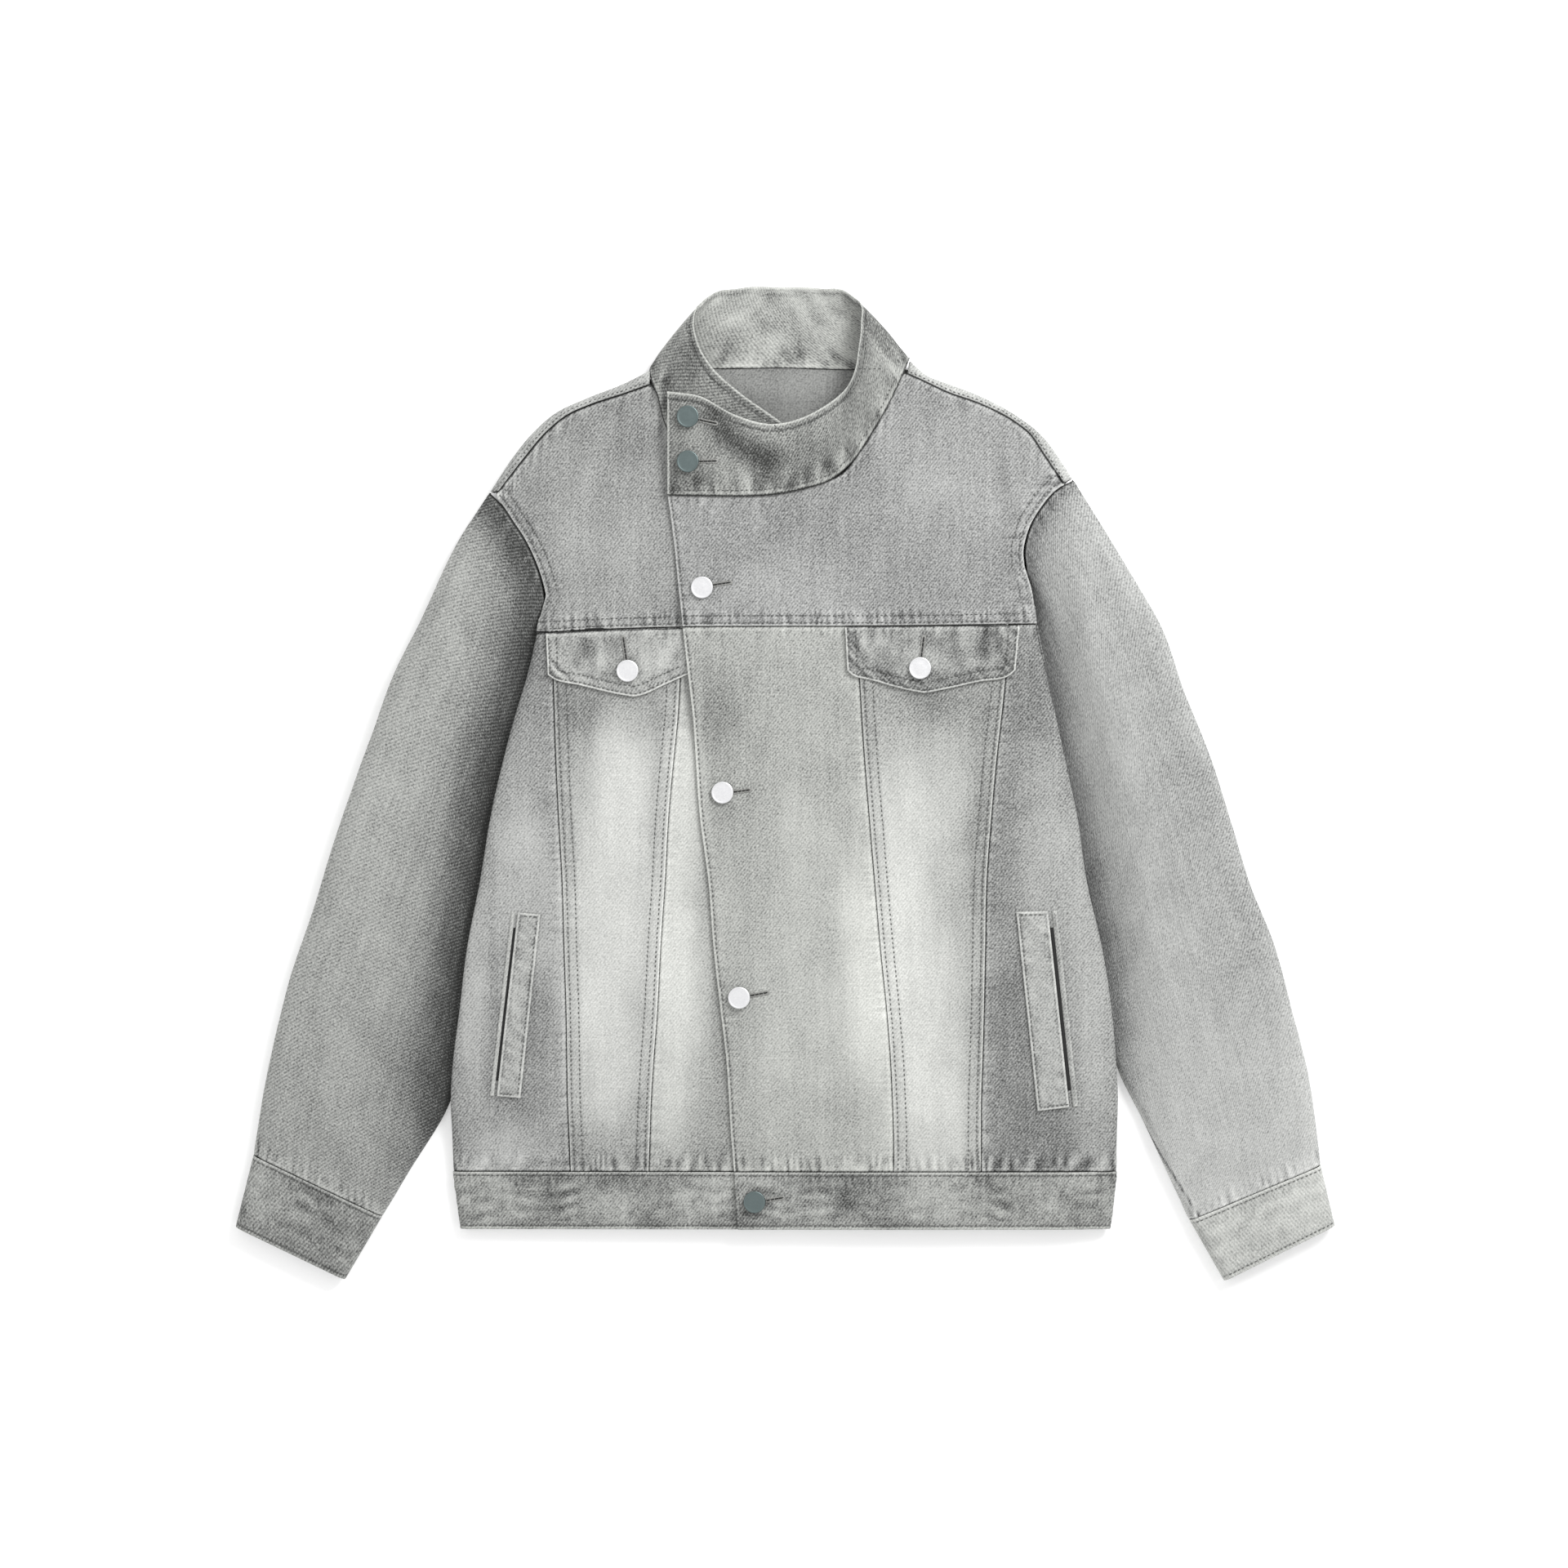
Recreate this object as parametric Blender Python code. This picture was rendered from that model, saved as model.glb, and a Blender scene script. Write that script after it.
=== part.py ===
"""Denim jacket laid flat on its back, in metres: +Y towards the collar, +Z up from the surface.

Each cut piece is one open sheet of faces, its outer surface, given its thickness by Solidify.
The tables are in millimetres. Left and right are as seen from above, looking at the front.
"""

import math

import bmesh
import bpy
import numpy as np

MM = 0.001

# Cloth
SINGLE = 1.5  # one layer of denim, drawn at the least a wall may be
DOUBLE = 2.4  # two layers, as in the collar, cuffs, hem band, flaps and welts
GAP = 0.3  # between the edges of two pieces at a seam
SIDE_GAP = 0.9  # between front and back at the side folds, where the walls lean towards each other
LIE = 0.5  # between a piece that lies on a panel and that panel

# How the body stands over the surface
CROWN = 1.5  # the front falls this far from its middle to 200 mm out
CROWN_AT = 200.0
FOLD = 9.0  # width in plan of the rounded fold down each side
OVERLAP_RISE = 2.4  # the lapping front over the front below it
FLAP_RISE = 2.6  # more of it, where the left flap's end is tucked under
FLAP_RISE_Y = (66.0, 124.0)
FLAP_RISE_FADE = 45.0
UNDERLAP = 60.0  # the hidden width of the lower front past the lapping edge
LIFT_FROM, LIFT_TO = 24.0, 72.0  # the back rises over the sleeve between these distances

# Height of the front's outer face and of the side fold's underside
HEIGHTS = {
    "y":     (-350, -305, -276, -249, -218, -179, -78, -20, 50, 110, 131, 146, 180, 230, 300, 330),
    "front": (13.0, 13.5, 15.0, 17.0, 18.5, 20.0, 21, 21, 21, 20.5, 20, 19.5, 19, 17.5, 15.5, 15),
    "under": (0.0, 0.0, 3.0, 6.5, 9.0, 9.5, 9.5, 9.5, 9.5, 9.5, 12, 16, 17, 15, 14, 14),
    "back":  (0.0, 0.0, 3.0, 6.5, 9.0, 9.5, 9.5, 9.5, 0, 0, 0, 0, 0, 0, 0, 0),
}

# Where the side folds and the long seams cross each section of the body
BODY = {
    "y":       (-305, -276, -249, -218, -179, -130, -78, -24, 20, 50, 85, 120),
    "left":    (-260, -261, -262, -260, -255, -249, -239, -230, -220, -212, -201.5, -193.5),
    "seam_a":  (-168, -169, -170, -170.5, -171, -172.5, -174, -177, -179, -180, -181, -182),
    "seam_b":  (-107, -106, -105, -103, -100, -97.5, -94, -91, -87, -84, -82, -80),
    "placket": (-40, -42.5, -44, -46, -50.5, -56, -60, -67, -70, -72, -76, -80),
    "seam_c":  (85, 85, 84, 82.5, 79.5, 74.5, 70, 65.5, 62, 60, 58, 56),
    "seam_d":  (153, 153, 153, 154, 155, 156, 157, 161, 165, 168.5, 172, 174),
    "right":   (259.5, 260, 260.5, 259, 255.5, 248, 236, 228, 218.5, 212, 204, 196.5),
}

# The body's side edges above the last section, as far as the armholes
SIDE_TOP = {"left": ((-191, 131), (-187, 146)), "right": ((192, 152), (187, 168))}

# Seam lines, each from left to right or from the hem up
YOKE_SEAM = ((-194, 117), (-80, 121.5), (56, 122), (196.5, 124))
PLACKET_TOP = ((-80, 121.5), (-84, 158), (-87, 188), (-92, 225))
LEFT_ARMHOLE = ((-187, 146), (-189, 155), (-196, 175), (-204, 191), (-212, 203), (-222, 218), (-231, 228))
RIGHT_ARMHOLE = ((187, 168), (186, 181), (188, 191), (192, 202), (200, 215), (210, 227), (225, 237))
LEFT_SHOULDER = ((-224, 228), (-204, 254), (-187, 274), (-171, 287), (-151, 296), (-128, 303.5), (-104, 312))
RIGHT_SHOULDER = ((92, 321), (108, 314), (127, 305), (150, 297), (181, 281), (191, 273), (202, 257), (217, 234))
LOWER_NECK = ((-104, 312), (-99, 303), (-93, 281), (-88, 270), (-75, 252), (-55, 236), (-32, 228))
UPPER_NECK = ((-92, 225), (-49, 224.5), (-16, 225), (5, 228), (27, 234), (44, 241), (59, 260), (74, 284),
              (87, 310), (92, 321))
LEFT_SHOULDER_FOLD = ((-231, 228), (-214, 254), (-196, 276), (-181, 289), (-156, 301), (-128, 312), (-104, 324))
RIGHT_SHOULDER_FOLD = ((95, 333), (111, 319), (129, 312), (150, 304), (182, 287), (202, 271), (211.5, 259),
                       (225, 238))

# Back pieces: the seams that the front hides
BACK_YOKE_Y = 165.0
BACK_NECK_Y = 325.0
BACK_SEAM_TOP, BACK_SEAM_HEM = 118.0, 92.0  # half distances between the two long back seams
BACK_SIDE_EDGE = {"y": (-78, -50, -20, 0, 25, 50), "inset": (0, 11, 26, 27, 26, 24)}
LEFT_BACK_ARMHOLE = ((-188, 50), (-190.5, 70), (-194.5, 110), (-198, 150), (-200.5, 165), (-231, 228))
RIGHT_BACK_ARMHOLE = ((188, 50), (189.5, 70), (192.5, 110), (195.5, 150), (197.5, 165), (225, 237))
SHOULDER_FOLD = 0.55  # width in plan of the fold along each shoulder, as a share of the strip to its seam
SHOULDER_HEIGHT = 15.5
SHOULDER_GAP = 1.2  # between that strip and the front's edge, both of them short straight lines

# Hem band
HEM_LEFT, HEM_RIGHT, HEM_Y = -254.0, 254.5, -350.0

# Sleeves: plan lines from the cuff seam up, and heights along the sleeve, 0 at the cuff
SLEEVES = {
    "left": {
        "outer": ((-417, -292), (-408, -237), (-398, -191), (-387, -149), (-370, -100), (-356, -54),
                  (-343, -15), (-324, 37), (-306, 86), (-285, 128), (-257, 188), (-232, 227)),
        "inner": ((-316, -340), (-295, -305), (-262, -248), (-251, -200), (-232, -110), (-208, -25),
                  (-190, 50)),
        "front_armhole": ((-232, 227), (-223.5, 219), (-213.3, 204), (-205.3, 192), (-197.3, 176),
                          (-190.3, 155), (-188.5, 146), (-187, 130), (-188, 100), (-190, 50)),
        "back_armhole": ((-232, 227), (-213, 195), (-205, 165), (-201.5, 150), (-198, 110), (-194, 70),
                         (-190, 50)),
        "cuff_end": ((-431, -348), (-345, -389.5)),
        "goes_under": 0.50,
    },
    "right": {
        "outer": ((420, -300), (411, -233), (397, -177), (383, -126), (364, -79), (350, -33), (332, 23),
                  (313, 70), (295, 121), (271, 163), (252, 195), (226, 237)),
        "inner": ((317, -343), (281, -266), (260, -222), (252, -190), (231, -110), (207, -30), (190, 50)),
        "front_armhole": ((226, 237), (211.5, 228), (201.3, 216), (193.3, 203), (189.3, 191.5),
                          (187.4, 181), (188.4, 168), (188, 145), (188, 100), (190, 50)),
        "back_armhole": ((226, 237), (209, 200), (202, 165), (199.5, 150), (196.5, 110), (193, 70),
                         (190, 50)),
        "cuff_end": ((431, -347), (344, -390.5)),
        "goes_under": 0.42,
    },
}
SLEEVE_HEIGHTS = {
    "along": (0.0, 0.15, 0.3, 0.5, 0.7, 0.85, 1.0),
    "peak":  (15.0, 17.0, 20.0, 24.0, 26.0, 25.0, 20.0),
}
ARMHOLE_HEIGHTS = {
    "along":  (0, 0.05, 0.1, 0.2, 0.35, 0.46, 0.5, 0.54, 0.58, 0.64, 0.74, 0.96, 1.0),
    "height": (8, 13.5, 16.2, 17.6, 18.2, 18.4, 17.4, 13, 10.0, 8.0, 7.4, 7.2, 3.5),
}
SLEEVE_UNDER_BODY = 7.8  # height of the sleeve's inner side, where the body lies on it
SLEEVE_RISE = 45.0  # it rises from that to its peak over this distance from the body
SLEEVE_FOLD, SLEEVE_SEAM_FOLD, SLEEVE_FLOOR_FOLD = 14.0, 6.0, 7.0
OUTER_MID, INNER_MID = 0.45, 3.5  # the outer fold's own height, as a share of the peak, and the inner one's
ARMHOLE_BLEND = 0.16  # share of the sleeve over which it takes the armhole's heights
CUFF_HEIGHT = 14.0

# Collar: a band of sections from the lapping end round the neck to the hidden end.
# Columns: neck x, y, z and rim x, y, z of the outer face.
COLLAR = (
    (-92, 225.4, 23.2, -92, 305, 24.4),
    (-62, 224.8, 23.2, -66, 301, 24.8),
    (-34, 224.8, 23.2, -40, 287, 24.8),
    (-8, 226.3, 23.2, -12, 279.5, 24.8),
    (16, 231.0, 23.0, 12, 284, 24.8),
    (36, 238.0, 22.8, 33, 295, 24.6),
    (53, 252.5, 22.4, 47, 307, 24.3),
    (66, 272.0, 22.0, 54, 321, 23.8),
    (78, 292.0, 21.5, 57, 338, 23.0),
    (89.5, 316.0, 20.4, 59, 358, 21.0),
    (97.5, 332.0, 10.5, 57, 377, 14.0),
    (95, 329.5, 3.0, 46, 386, 6.0),
    (76, 325.6, 0.0, 30, 388, 1.0),
    (0, 325.4, 0.0, -4, 389, 0.0),
    (-80, 325.6, 0.0, -38, 388, 1.0),
    (-102, 327.0, 2.5, -56, 384, 5.0),
    (-106.5, 325.5, 9.0, -67, 375, 10.0),
    (-104.5, 315.0, 16.6, -71.5, 361, 15.5),
    (-99.3, 303, 18.4, -69, 346, 17.4),
    (-93.3, 281, 19.3, -59, 327, 18.4),
    (-75.5, 252.6, 20.0, -36, 305, 19.2),
    (-55.5, 236.7, 20.2, -4, 282, 19.8),
    (-32, 228.7, 20.2, 18, 264, 19.8),
)
COLLAR_ROWS = 3
COLLAR_BULGE = 1.2  # how far the band stands out half way up

# Pieces on the panels: corners in plan
LEFT_FLAP = {"top": ((-187, 116.5), (-75, 120.5)), "bottom": ((-186, 83), (-118, 67.5), (-75, 84))}
RIGHT_FLAP = {"top": ((46, 121.5), (183, 122.5)), "bottom": ((48, 85), (109, 70), (179, 85.5))}
LEFT_WELT = {"top": ((-213, -103), (-193, -104)), "bottom": ((-226, -243), (-208, -244))}
RIGHT_WELT = {"top": ((183, -103), (209, -103)), "bottom": ((201, -254), (225, -251))}

# Buttons: x, y and the piece that each sits on
BUTTONS = (
    ("button_collar_top", -76, 285, "collar"),
    ("button_collar_low", -76, 250, "collar"),
    ("button_chest", -65, 152, "over"),
    ("button_waist", -49, -8, "over"),
    ("button_lower", -36, -168, "over"),
    ("button_hem", -24, -328, "hem"),
    ("button_left_flap", -123, 87, "flap"),
    ("button_right_flap", 105, 89, "flap"),
)
BUTTON_RADIUS = 8.5
BUTTON_PROFILE = ((4.2, 0.0), (4.2, 1.2), (8.0, 1.4), (8.5, 2.2), (7.6, 3.0), (5.0, 3.2))
BUTTON_SIDES = 16

COLOURS = {
    "denim": (0.36, 0.36, 0.34),
    "denim_band": (0.33, 0.33, 0.31),
    "metal": (0.72, 0.73, 0.75),
}


def clear_scene():
    for obj in list(bpy.data.objects):
        bpy.data.objects.remove(obj)


def material(name):
    """One Principled material for each finish, made once."""
    made = bpy.data.materials.get(name)
    if made:
        return made
    made = bpy.data.materials.new(name)
    made.use_nodes = True
    shader = made.node_tree.nodes["Principled BSDF"]
    shader.inputs["Base Color"].default_value = (*COLOURS[name], 1.0)
    shader.inputs["Roughness"].default_value = 0.3 if name == "metal" else 0.9
    shader.inputs["Metallic"].default_value = 1.0 if name == "metal" else 0.0
    return made


def quarter(share):
    """Height of a quarter circle: 0 at its edge, 1 from one radius in."""
    inward = 1.0 - np.clip(share, 0.0, 1.0)
    return np.sqrt(1.0 - inward * inward)


def smooth(share):
    t = np.clip(share, 0.0, 1.0)
    return t * t * (3.0 - 2.0 * t)


def column(table, name, at, by="y"):
    return np.interp(at, table[by], table[name])


def along(line, shares):
    """Points at these shares of a line's length."""
    points = np.array(line, float)
    steps = np.linalg.norm(np.diff(points, axis=0), axis=1)
    length = np.concatenate([[0.0], np.cumsum(steps)])
    at = np.asarray(shares, float) * length[-1]
    return np.stack([np.interp(at, length, points[:, k]) for k in range(points.shape[1])], axis=-1)


def distance_to(line, x, y):
    """Distance in plan from each point to a line of segments."""
    points = np.array(line, float)
    best = np.full(np.shape(x), np.inf)
    for a, b in zip(points[:-1], points[1:]):
        d = b - a
        t = np.clip(((x - a[0]) * d[0] + (y - a[1]) * d[1]) / (d @ d), 0.0, 1.0)
        best = np.minimum(best, np.hypot(x - a[0] - t * d[0], y - a[1] - t * d[1]))
    return best


def side_line(side):
    """The side fold in plan, from the hem's corner to the armhole."""
    corner = (HEM_LEFT if side == "left" else HEM_RIGHT, HEM_Y)
    return (corner, *zip(BODY[side], BODY["y"]), *SIDE_TOP[side])


SIDE_LINES = {side: side_line(side) for side in ("left", "right")}


def side_distance(x, y):
    """Distance in plan to the nearer side fold."""
    return np.minimum(distance_to(SIDE_LINES["left"], x, y), distance_to(SIDE_LINES["right"], x, y))


def fold_height(y):
    """Height of the side fold's own line, half way between its two layers."""
    return (column(HEIGHTS, "under", y) + column(HEIGHTS, "front", y)) / 2


def front_height(x, y, over=False):
    """Outer face of the front: crowned across, rounded down to the side folds."""
    top = column(HEIGHTS, "front", y) - CROWN * (x / CROWN_AT) ** 2
    if over:
        low, high = FLAP_RISE_Y
        near_flap = smooth((y - low + FLAP_RISE_FADE) / FLAP_RISE_FADE)
        near_flap = near_flap * smooth((high + FLAP_RISE_FADE - y) / FLAP_RISE_FADE)
        from_edge = x - np.interp(y, BODY["y"], BODY["placket"])
        top = top + OVERLAP_RISE + FLAP_RISE * near_flap * (1.0 - smooth(from_edge / 60.0))
    middle = fold_height(y) + SIDE_GAP / 2
    return middle + (top - middle) * quarter(side_distance(x, y) / FOLD)


def back_height(x, y):
    """Outer face of the back: on the surface, and lifted over the sleeves at its sides."""
    away = side_distance(x, y)
    lift = column(HEIGHTS, "back", y) * (1.0 - smooth((away - LIFT_FROM) / (LIFT_TO - LIFT_FROM)))
    middle = fold_height(y) - SIDE_GAP / 2
    reaches_fold = smooth((-50.0 - y) / 28.0)
    return lift + (middle - lift) * (1.0 - quarter(away / FOLD)) * reaches_fold


def inset(points, sides):
    """Moves the named sides of a grid of points in by half a seam gap."""
    rows = {"bottom": (0, 1), "top": (-1, -2)}
    moved = points.copy()
    for side in sides:
        if side in rows:
            edge, within = rows[side]
            step = points[within] - points[edge]
        else:
            edge, within = (0, 1) if side == "left" else (-1, -2)
            step = points[:, within] - points[:, edge]
        step = step * (GAP / 2 / np.maximum(np.linalg.norm(step, axis=-1, keepdims=True), 1e-6))
        if side in rows:
            moved[edge] += step
        else:
            moved[:, edge] += step
    return moved


def coons(bottom, top, left, right, across, up):
    """Plan points of a patch between four lines. across is one row of shares, or a row for each of up."""
    up = np.asarray(up, float)
    across = np.broadcast_to(np.asarray(across, float), (len(up), np.shape(across)[-1]))
    v = up[:, None, None]
    u = across[..., None]
    low, high = along(bottom, across), along(top, across)
    near, far = along(left, up)[:, None, :], along(right, up)[:, None, :]
    corners = [np.array(p, float) for p in (bottom[0], bottom[-1], top[0], top[-1])]
    flat = (1 - u) * (1 - v) * corners[0] + u * (1 - v) * corners[1]
    flat = flat + (1 - u) * v * corners[2] + u * v * corners[3]
    return (1 - v) * low + v * high + (1 - u) * near + u * far - flat


def shares_with_fold(width, cells, left=False, right=False):
    """Shares across a row of that width, close together where it rounds over a side fold."""
    steps = np.array((0.0, 0.02, 0.12, 0.34, 0.65, 1.0)) * FOLD
    most = np.array((0.0, 0.01, 0.06, 0.18, 0.35, 0.55))
    fold = np.minimum(steps / width, most)
    first = fold if left else np.array((0.0,))
    last = (1.0 - fold)[::-1] if right else np.array((1.0,))
    middle = np.linspace(first[-1], last[0], cells + 1)[1:-1]
    return np.concatenate([first, middle, last])


def rows_between(y_rows, left, right, cells, fold_left=False, fold_right=False):
    """Plan points in rows of constant y between two columns of x."""
    grid = []
    for y, a, b in zip(y_rows, left, right):
        shares = shares_with_fold(b - a, cells, fold_left, fold_right)
        grid.append(np.stack([a + (b - a) * shares, np.full(len(shares), y)], axis=-1))
    return np.array(grid)


def add_sheet(name, surface, thickness, finish, facing_up=True, closed=False):
    """One node: the faces of a grid of points, thickened inwards from its outer face."""
    rows, columns = surface.shape[:2]
    mesh = bmesh.new()
    verts = [[mesh.verts.new(point * MM) for point in row] for row in surface]
    for j in range(rows - 1):
        for i in range(columns if closed else columns - 1):
            k = (i + 1) % columns
            corners = [verts[j][i], verts[j][k], verts[j + 1][k], verts[j + 1][i]]
            mesh.faces.new(corners if facing_up else corners[::-1])
    return finish_sheet(name, mesh, thickness, finish)


def finish_sheet(name, mesh, thickness, finish):
    data = bpy.data.meshes.new(name)
    mesh.to_mesh(data)
    mesh.free()
    data.shade_smooth()
    data.set_sharp_from_angle(angle=math.radians(40))
    data.materials.append(material(finish))
    obj = bpy.data.objects.new(name, data)
    bpy.context.scene.collection.objects.link(obj)
    wall = obj.modifiers.new("cloth", "SOLIDIFY")
    wall.thickness = thickness * MM
    wall.offset = -1.0
    wall.use_even_offset = False
    return obj


def with_height(plan, height):
    return np.concatenate([plan, height[..., None]], axis=-1)


def front_panel(name, left, right, cells, over=False, fold_left=False, fold_right=False):
    """A lower front panel between two long seams, from the hem seam up to the yoke seam."""
    y_rows = np.array(BODY["y"], float)
    plan = rows_between(y_rows, left, right, cells, fold_left, fold_right)
    yoke = np.array(YOKE_SEAM, float)
    plan[-1, :, 1] = np.interp(plan[-1, :, 0], yoke[:, 0], yoke[:, 1])
    sides = {"bottom", "top", "left", "right"}
    sides -= {"left"} if fold_left else set()
    sides -= {"right"} if fold_right else set()
    plan = inset(plan, sides)
    add_sheet(name, with_height(plan, front_height(plan[..., 0], plan[..., 1], over)), SINGLE, "denim")


def make_front_panels():
    columns = {name: np.array(BODY[name], float) for name in BODY}
    hidden_edge = columns["placket"] + UNDERLAP
    front_panel("front_side_left", columns["left"], columns["seam_a"], 3, fold_left=True)
    front_panel("front_middle_left", columns["seam_a"], columns["seam_b"], 3)
    front_panel("front_centre_under", columns["seam_b"], hidden_edge, 4)
    front_panel("front_centre_over", columns["placket"], columns["seam_c"], 5, over=True)
    front_panel("front_middle_right", columns["seam_c"], columns["seam_d"], 3, over=True)
    front_panel("front_side_right", columns["seam_d"], columns["right"], 3, over=True, fold_right=True)


def make_front_yokes():
    hidden_top = (LOWER_NECK[-1][0], LOWER_NECK[-1][1])
    hidden_low = (BODY["placket"][-1] + UNDERLAP, 121.8)
    left = (YOKE_SEAM[0], *SIDE_TOP["left"], *LEFT_ARMHOLE[1:-1], LEFT_SHOULDER[0])
    up = np.linspace(0, 1, 10)
    plan = coons(
        (YOKE_SEAM[0], YOKE_SEAM[1], hidden_low), (*LEFT_SHOULDER, *LOWER_NECK[1:]),
        left, (hidden_low, hidden_top), shares_with_fold(170.0, 10, left=True), up,
    )
    plan = inset(plan, ("bottom", "top", "left", "right"))
    add_sheet("front_yoke_under", with_height(plan, front_height(plan[..., 0], plan[..., 1])), SINGLE, "denim")

    right = (YOKE_SEAM[-1], *SIDE_TOP["right"], *RIGHT_ARMHOLE[1:-1], RIGHT_SHOULDER[-1])
    plan = coons(
        YOKE_SEAM[1:], (*UPPER_NECK, *RIGHT_SHOULDER[1:]),
        PLACKET_TOP, right, shares_with_fold(277.0, 14, right=True), up,
    )
    plan = inset(plan, ("bottom", "top", "left", "right"))
    add_sheet("front_yoke_over", with_height(plan, front_height(plan[..., 0], plan[..., 1], True)), SINGLE, "denim")


def back_columns(y_rows):
    """x of the two side edges and of the two long seams of the back at these sections."""
    pull = np.interp(y_rows, BACK_SIDE_EDGE["y"], BACK_SIDE_EDGE["inset"], left=0.0)
    left = np.interp(y_rows, BODY["y"], BODY["left"]) + pull
    right = np.interp(y_rows, BODY["y"], BODY["right"]) - pull
    armholes = []
    for line, edge in ((LEFT_BACK_ARMHOLE, left), (RIGHT_BACK_ARMHOLE, right)):
        points = np.array(line, float)
        armholes.append(np.where(y_rows > 50, np.interp(y_rows, points[:, 1], points[:, 0]), edge))
    share = (y_rows - BODY["y"][0]) / (BACK_YOKE_Y - BODY["y"][0])
    seam = BACK_SEAM_HEM + (BACK_SEAM_TOP - BACK_SEAM_HEM) * share
    return armholes[0], -seam, seam, armholes[1]


def make_back_panels():
    y_rows = np.array((-305, -276, -249, -218, -179, -130, -78, -50, -20, 15, 50, 110, BACK_YOKE_Y), float)
    left, seam_left, seam_right, right = back_columns(y_rows)
    pieces = (
        ("back_side_left", left, seam_left, 4, True, False),
        ("back_centre", seam_left, seam_right, 3, False, False),
        ("back_side_right", seam_right, right, 4, False, True),
    )
    for name, low, high, cells, fold_left, fold_right in pieces:
        plan = rows_between(y_rows, low, high, cells, fold_left, fold_right)
        sides = ["bottom", "top"] + ([] if fold_left else ["left"]) + ([] if fold_right else ["right"])
        plan = inset(plan, sides)
        add_sheet(name, with_height(plan, back_height(plan[..., 0], plan[..., 1])), SINGLE, "denim", False)


def shoulder_rows(fold_line, seam_line, stations):
    """Points over the shoulder fold at each station: from the back, round the fold, to the front seam."""
    edge, seam = along(fold_line, stations), along(seam_line, stations)
    inward = (seam - edge) / np.linalg.norm(seam - edge, axis=1, keepdims=True)
    reach = np.linalg.norm(seam - edge, axis=1, keepdims=True) - SHOULDER_GAP
    half = SHOULDER_HEIGHT / 2
    rows = []
    for angle in np.radians((-90.0, -40.0, 0.0, 40.0, 90.0)):
        plan = edge + inward * reach * SHOULDER_FOLD * (1.0 - math.cos(angle))
        rows.append(np.concatenate([plan, np.full((len(plan), 1), half * (1.0 + math.sin(angle)))], axis=1))
    last = edge + inward * reach
    rows.append(np.concatenate([last, np.full((len(last), 1), SHOULDER_HEIGHT)], axis=1))
    return rows


def add_grid(mesh, grid):
    """Adds a grid of points as faces that look down from their first rows."""
    verts = [[mesh.verts.new(point * MM) for point in row] for row in grid]
    for low, high in zip(verts[:-1], verts[1:]):
        for a, b, c, d in zip(low[:-1], low[1:], high[1:], high[:-1]):
            mesh.faces.new((d, c, b, a))


def make_back_yoke():
    """Flat on the surface, and brought forward over both shoulders to the front shoulder seams."""
    mesh = bmesh.new()
    wings = []
    ends = ((LEFT_SHOULDER_FOLD, LEFT_SHOULDER, -104.0), (RIGHT_SHOULDER_FOLD, RIGHT_SHOULDER, 94.0))
    for fold_line, seam_line, neck_x in ends:
        stations = np.linspace(0.0, 0.985, 11) if neck_x < 0 else np.linspace(0.025, 1.0, 11)
        over = shoulder_rows(fold_line, seam_line, stations)
        first = over[0]
        low_x = np.linspace(-200.5, -118.0, 11) if neck_x < 0 else np.linspace(118.0, 197.5, 11)
        low = np.stack([low_x, np.full(11, BACK_YOKE_Y + GAP / 2), np.zeros(11)], axis=1)
        flat = [low + (first - low) * share for share in (0.0, 0.35, 0.7)]
        wings.append(np.array(flat + over))
    left, right = wings
    # The shoulder fold's ends meet the sleeves: draw each in by the seam gap.
    left[:, 0, 0] += GAP
    right[:, -1, 0] -= GAP
    add_grid(mesh, left)
    add_grid(mesh, right)
    neck = []
    for j in range(4):
        row = np.linspace(left[j, -1], right[j, 0], 7)
        neck.append(row)
    neck = np.array(neck)
    neck[3, 1:-1, 1] = BACK_NECK_Y - GAP / 2
    neck[2, 1:-1, 1] = np.minimum(neck[2, 1:-1, 1], BACK_NECK_Y - 40.0)
    add_grid(mesh, neck)
    bmesh.ops.remove_doubles(mesh, verts=mesh.verts, dist=0.00005)
    finish_sheet("back_yoke", mesh, SINGLE, "denim")


def make_hem_band():
    """One band from the lower front's hidden end, round the back, to the lapping end."""
    seam_y, end_y = BODY["y"][0], HEM_Y
    y_rows = np.array((end_y, (end_y + seam_y) / 2, seam_y - GAP / 2))
    left = np.interp(y_rows, (end_y, seam_y), (HEM_LEFT, BODY["left"][0]))
    right = np.interp(y_rows, (end_y, seam_y), (HEM_RIGHT, BODY["right"][0]))
    lap = np.interp(y_rows, (end_y, seam_y), (-37.0, BODY["placket"][0]))
    under = rows_between(y_rows, left, lap + UNDERLAP, 5, True, False)[:, ::-1]
    back = rows_between(y_rows, left, right, 8, True, True)[:, 1:-1]
    over = rows_between(y_rows, lap, right, 7, False, True)[:, ::-1]
    height = front_height(over[..., 0], over[..., 1])
    height = height + (DOUBLE + LIE) * smooth(side_distance(over[..., 0], over[..., 1]) / 40.0)
    band = np.concatenate([
        with_height(under, front_height(under[..., 0], under[..., 1])),
        with_height(back, back_height(back[..., 0], back[..., 1])),
        with_height(over, height),
    ], axis=1)
    add_sheet("hem_band", band, DOUBLE, "denim_band", False)


# Once round the sleeve: shares of its width from the outer fold, on one layer and then the other
SLEEVE_LOOP = (
    ("floor", (0.25, 0.08, 0.035, 0.01)),
    ("top", (0.0, 0.006, 0.03, 0.07, 0.13, 0.24, 0.36, 0.46, 0.52, 0.58, 0.66, 0.78, 0.88, 0.965, 0.99)),
    ("floor", (1.0, 0.99, 0.965, 0.93, 0.6, 0.25)),
)
INNER_SEAM = -3  # the column of the loop where the upper sleeve ends, just round the inner fold


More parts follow.
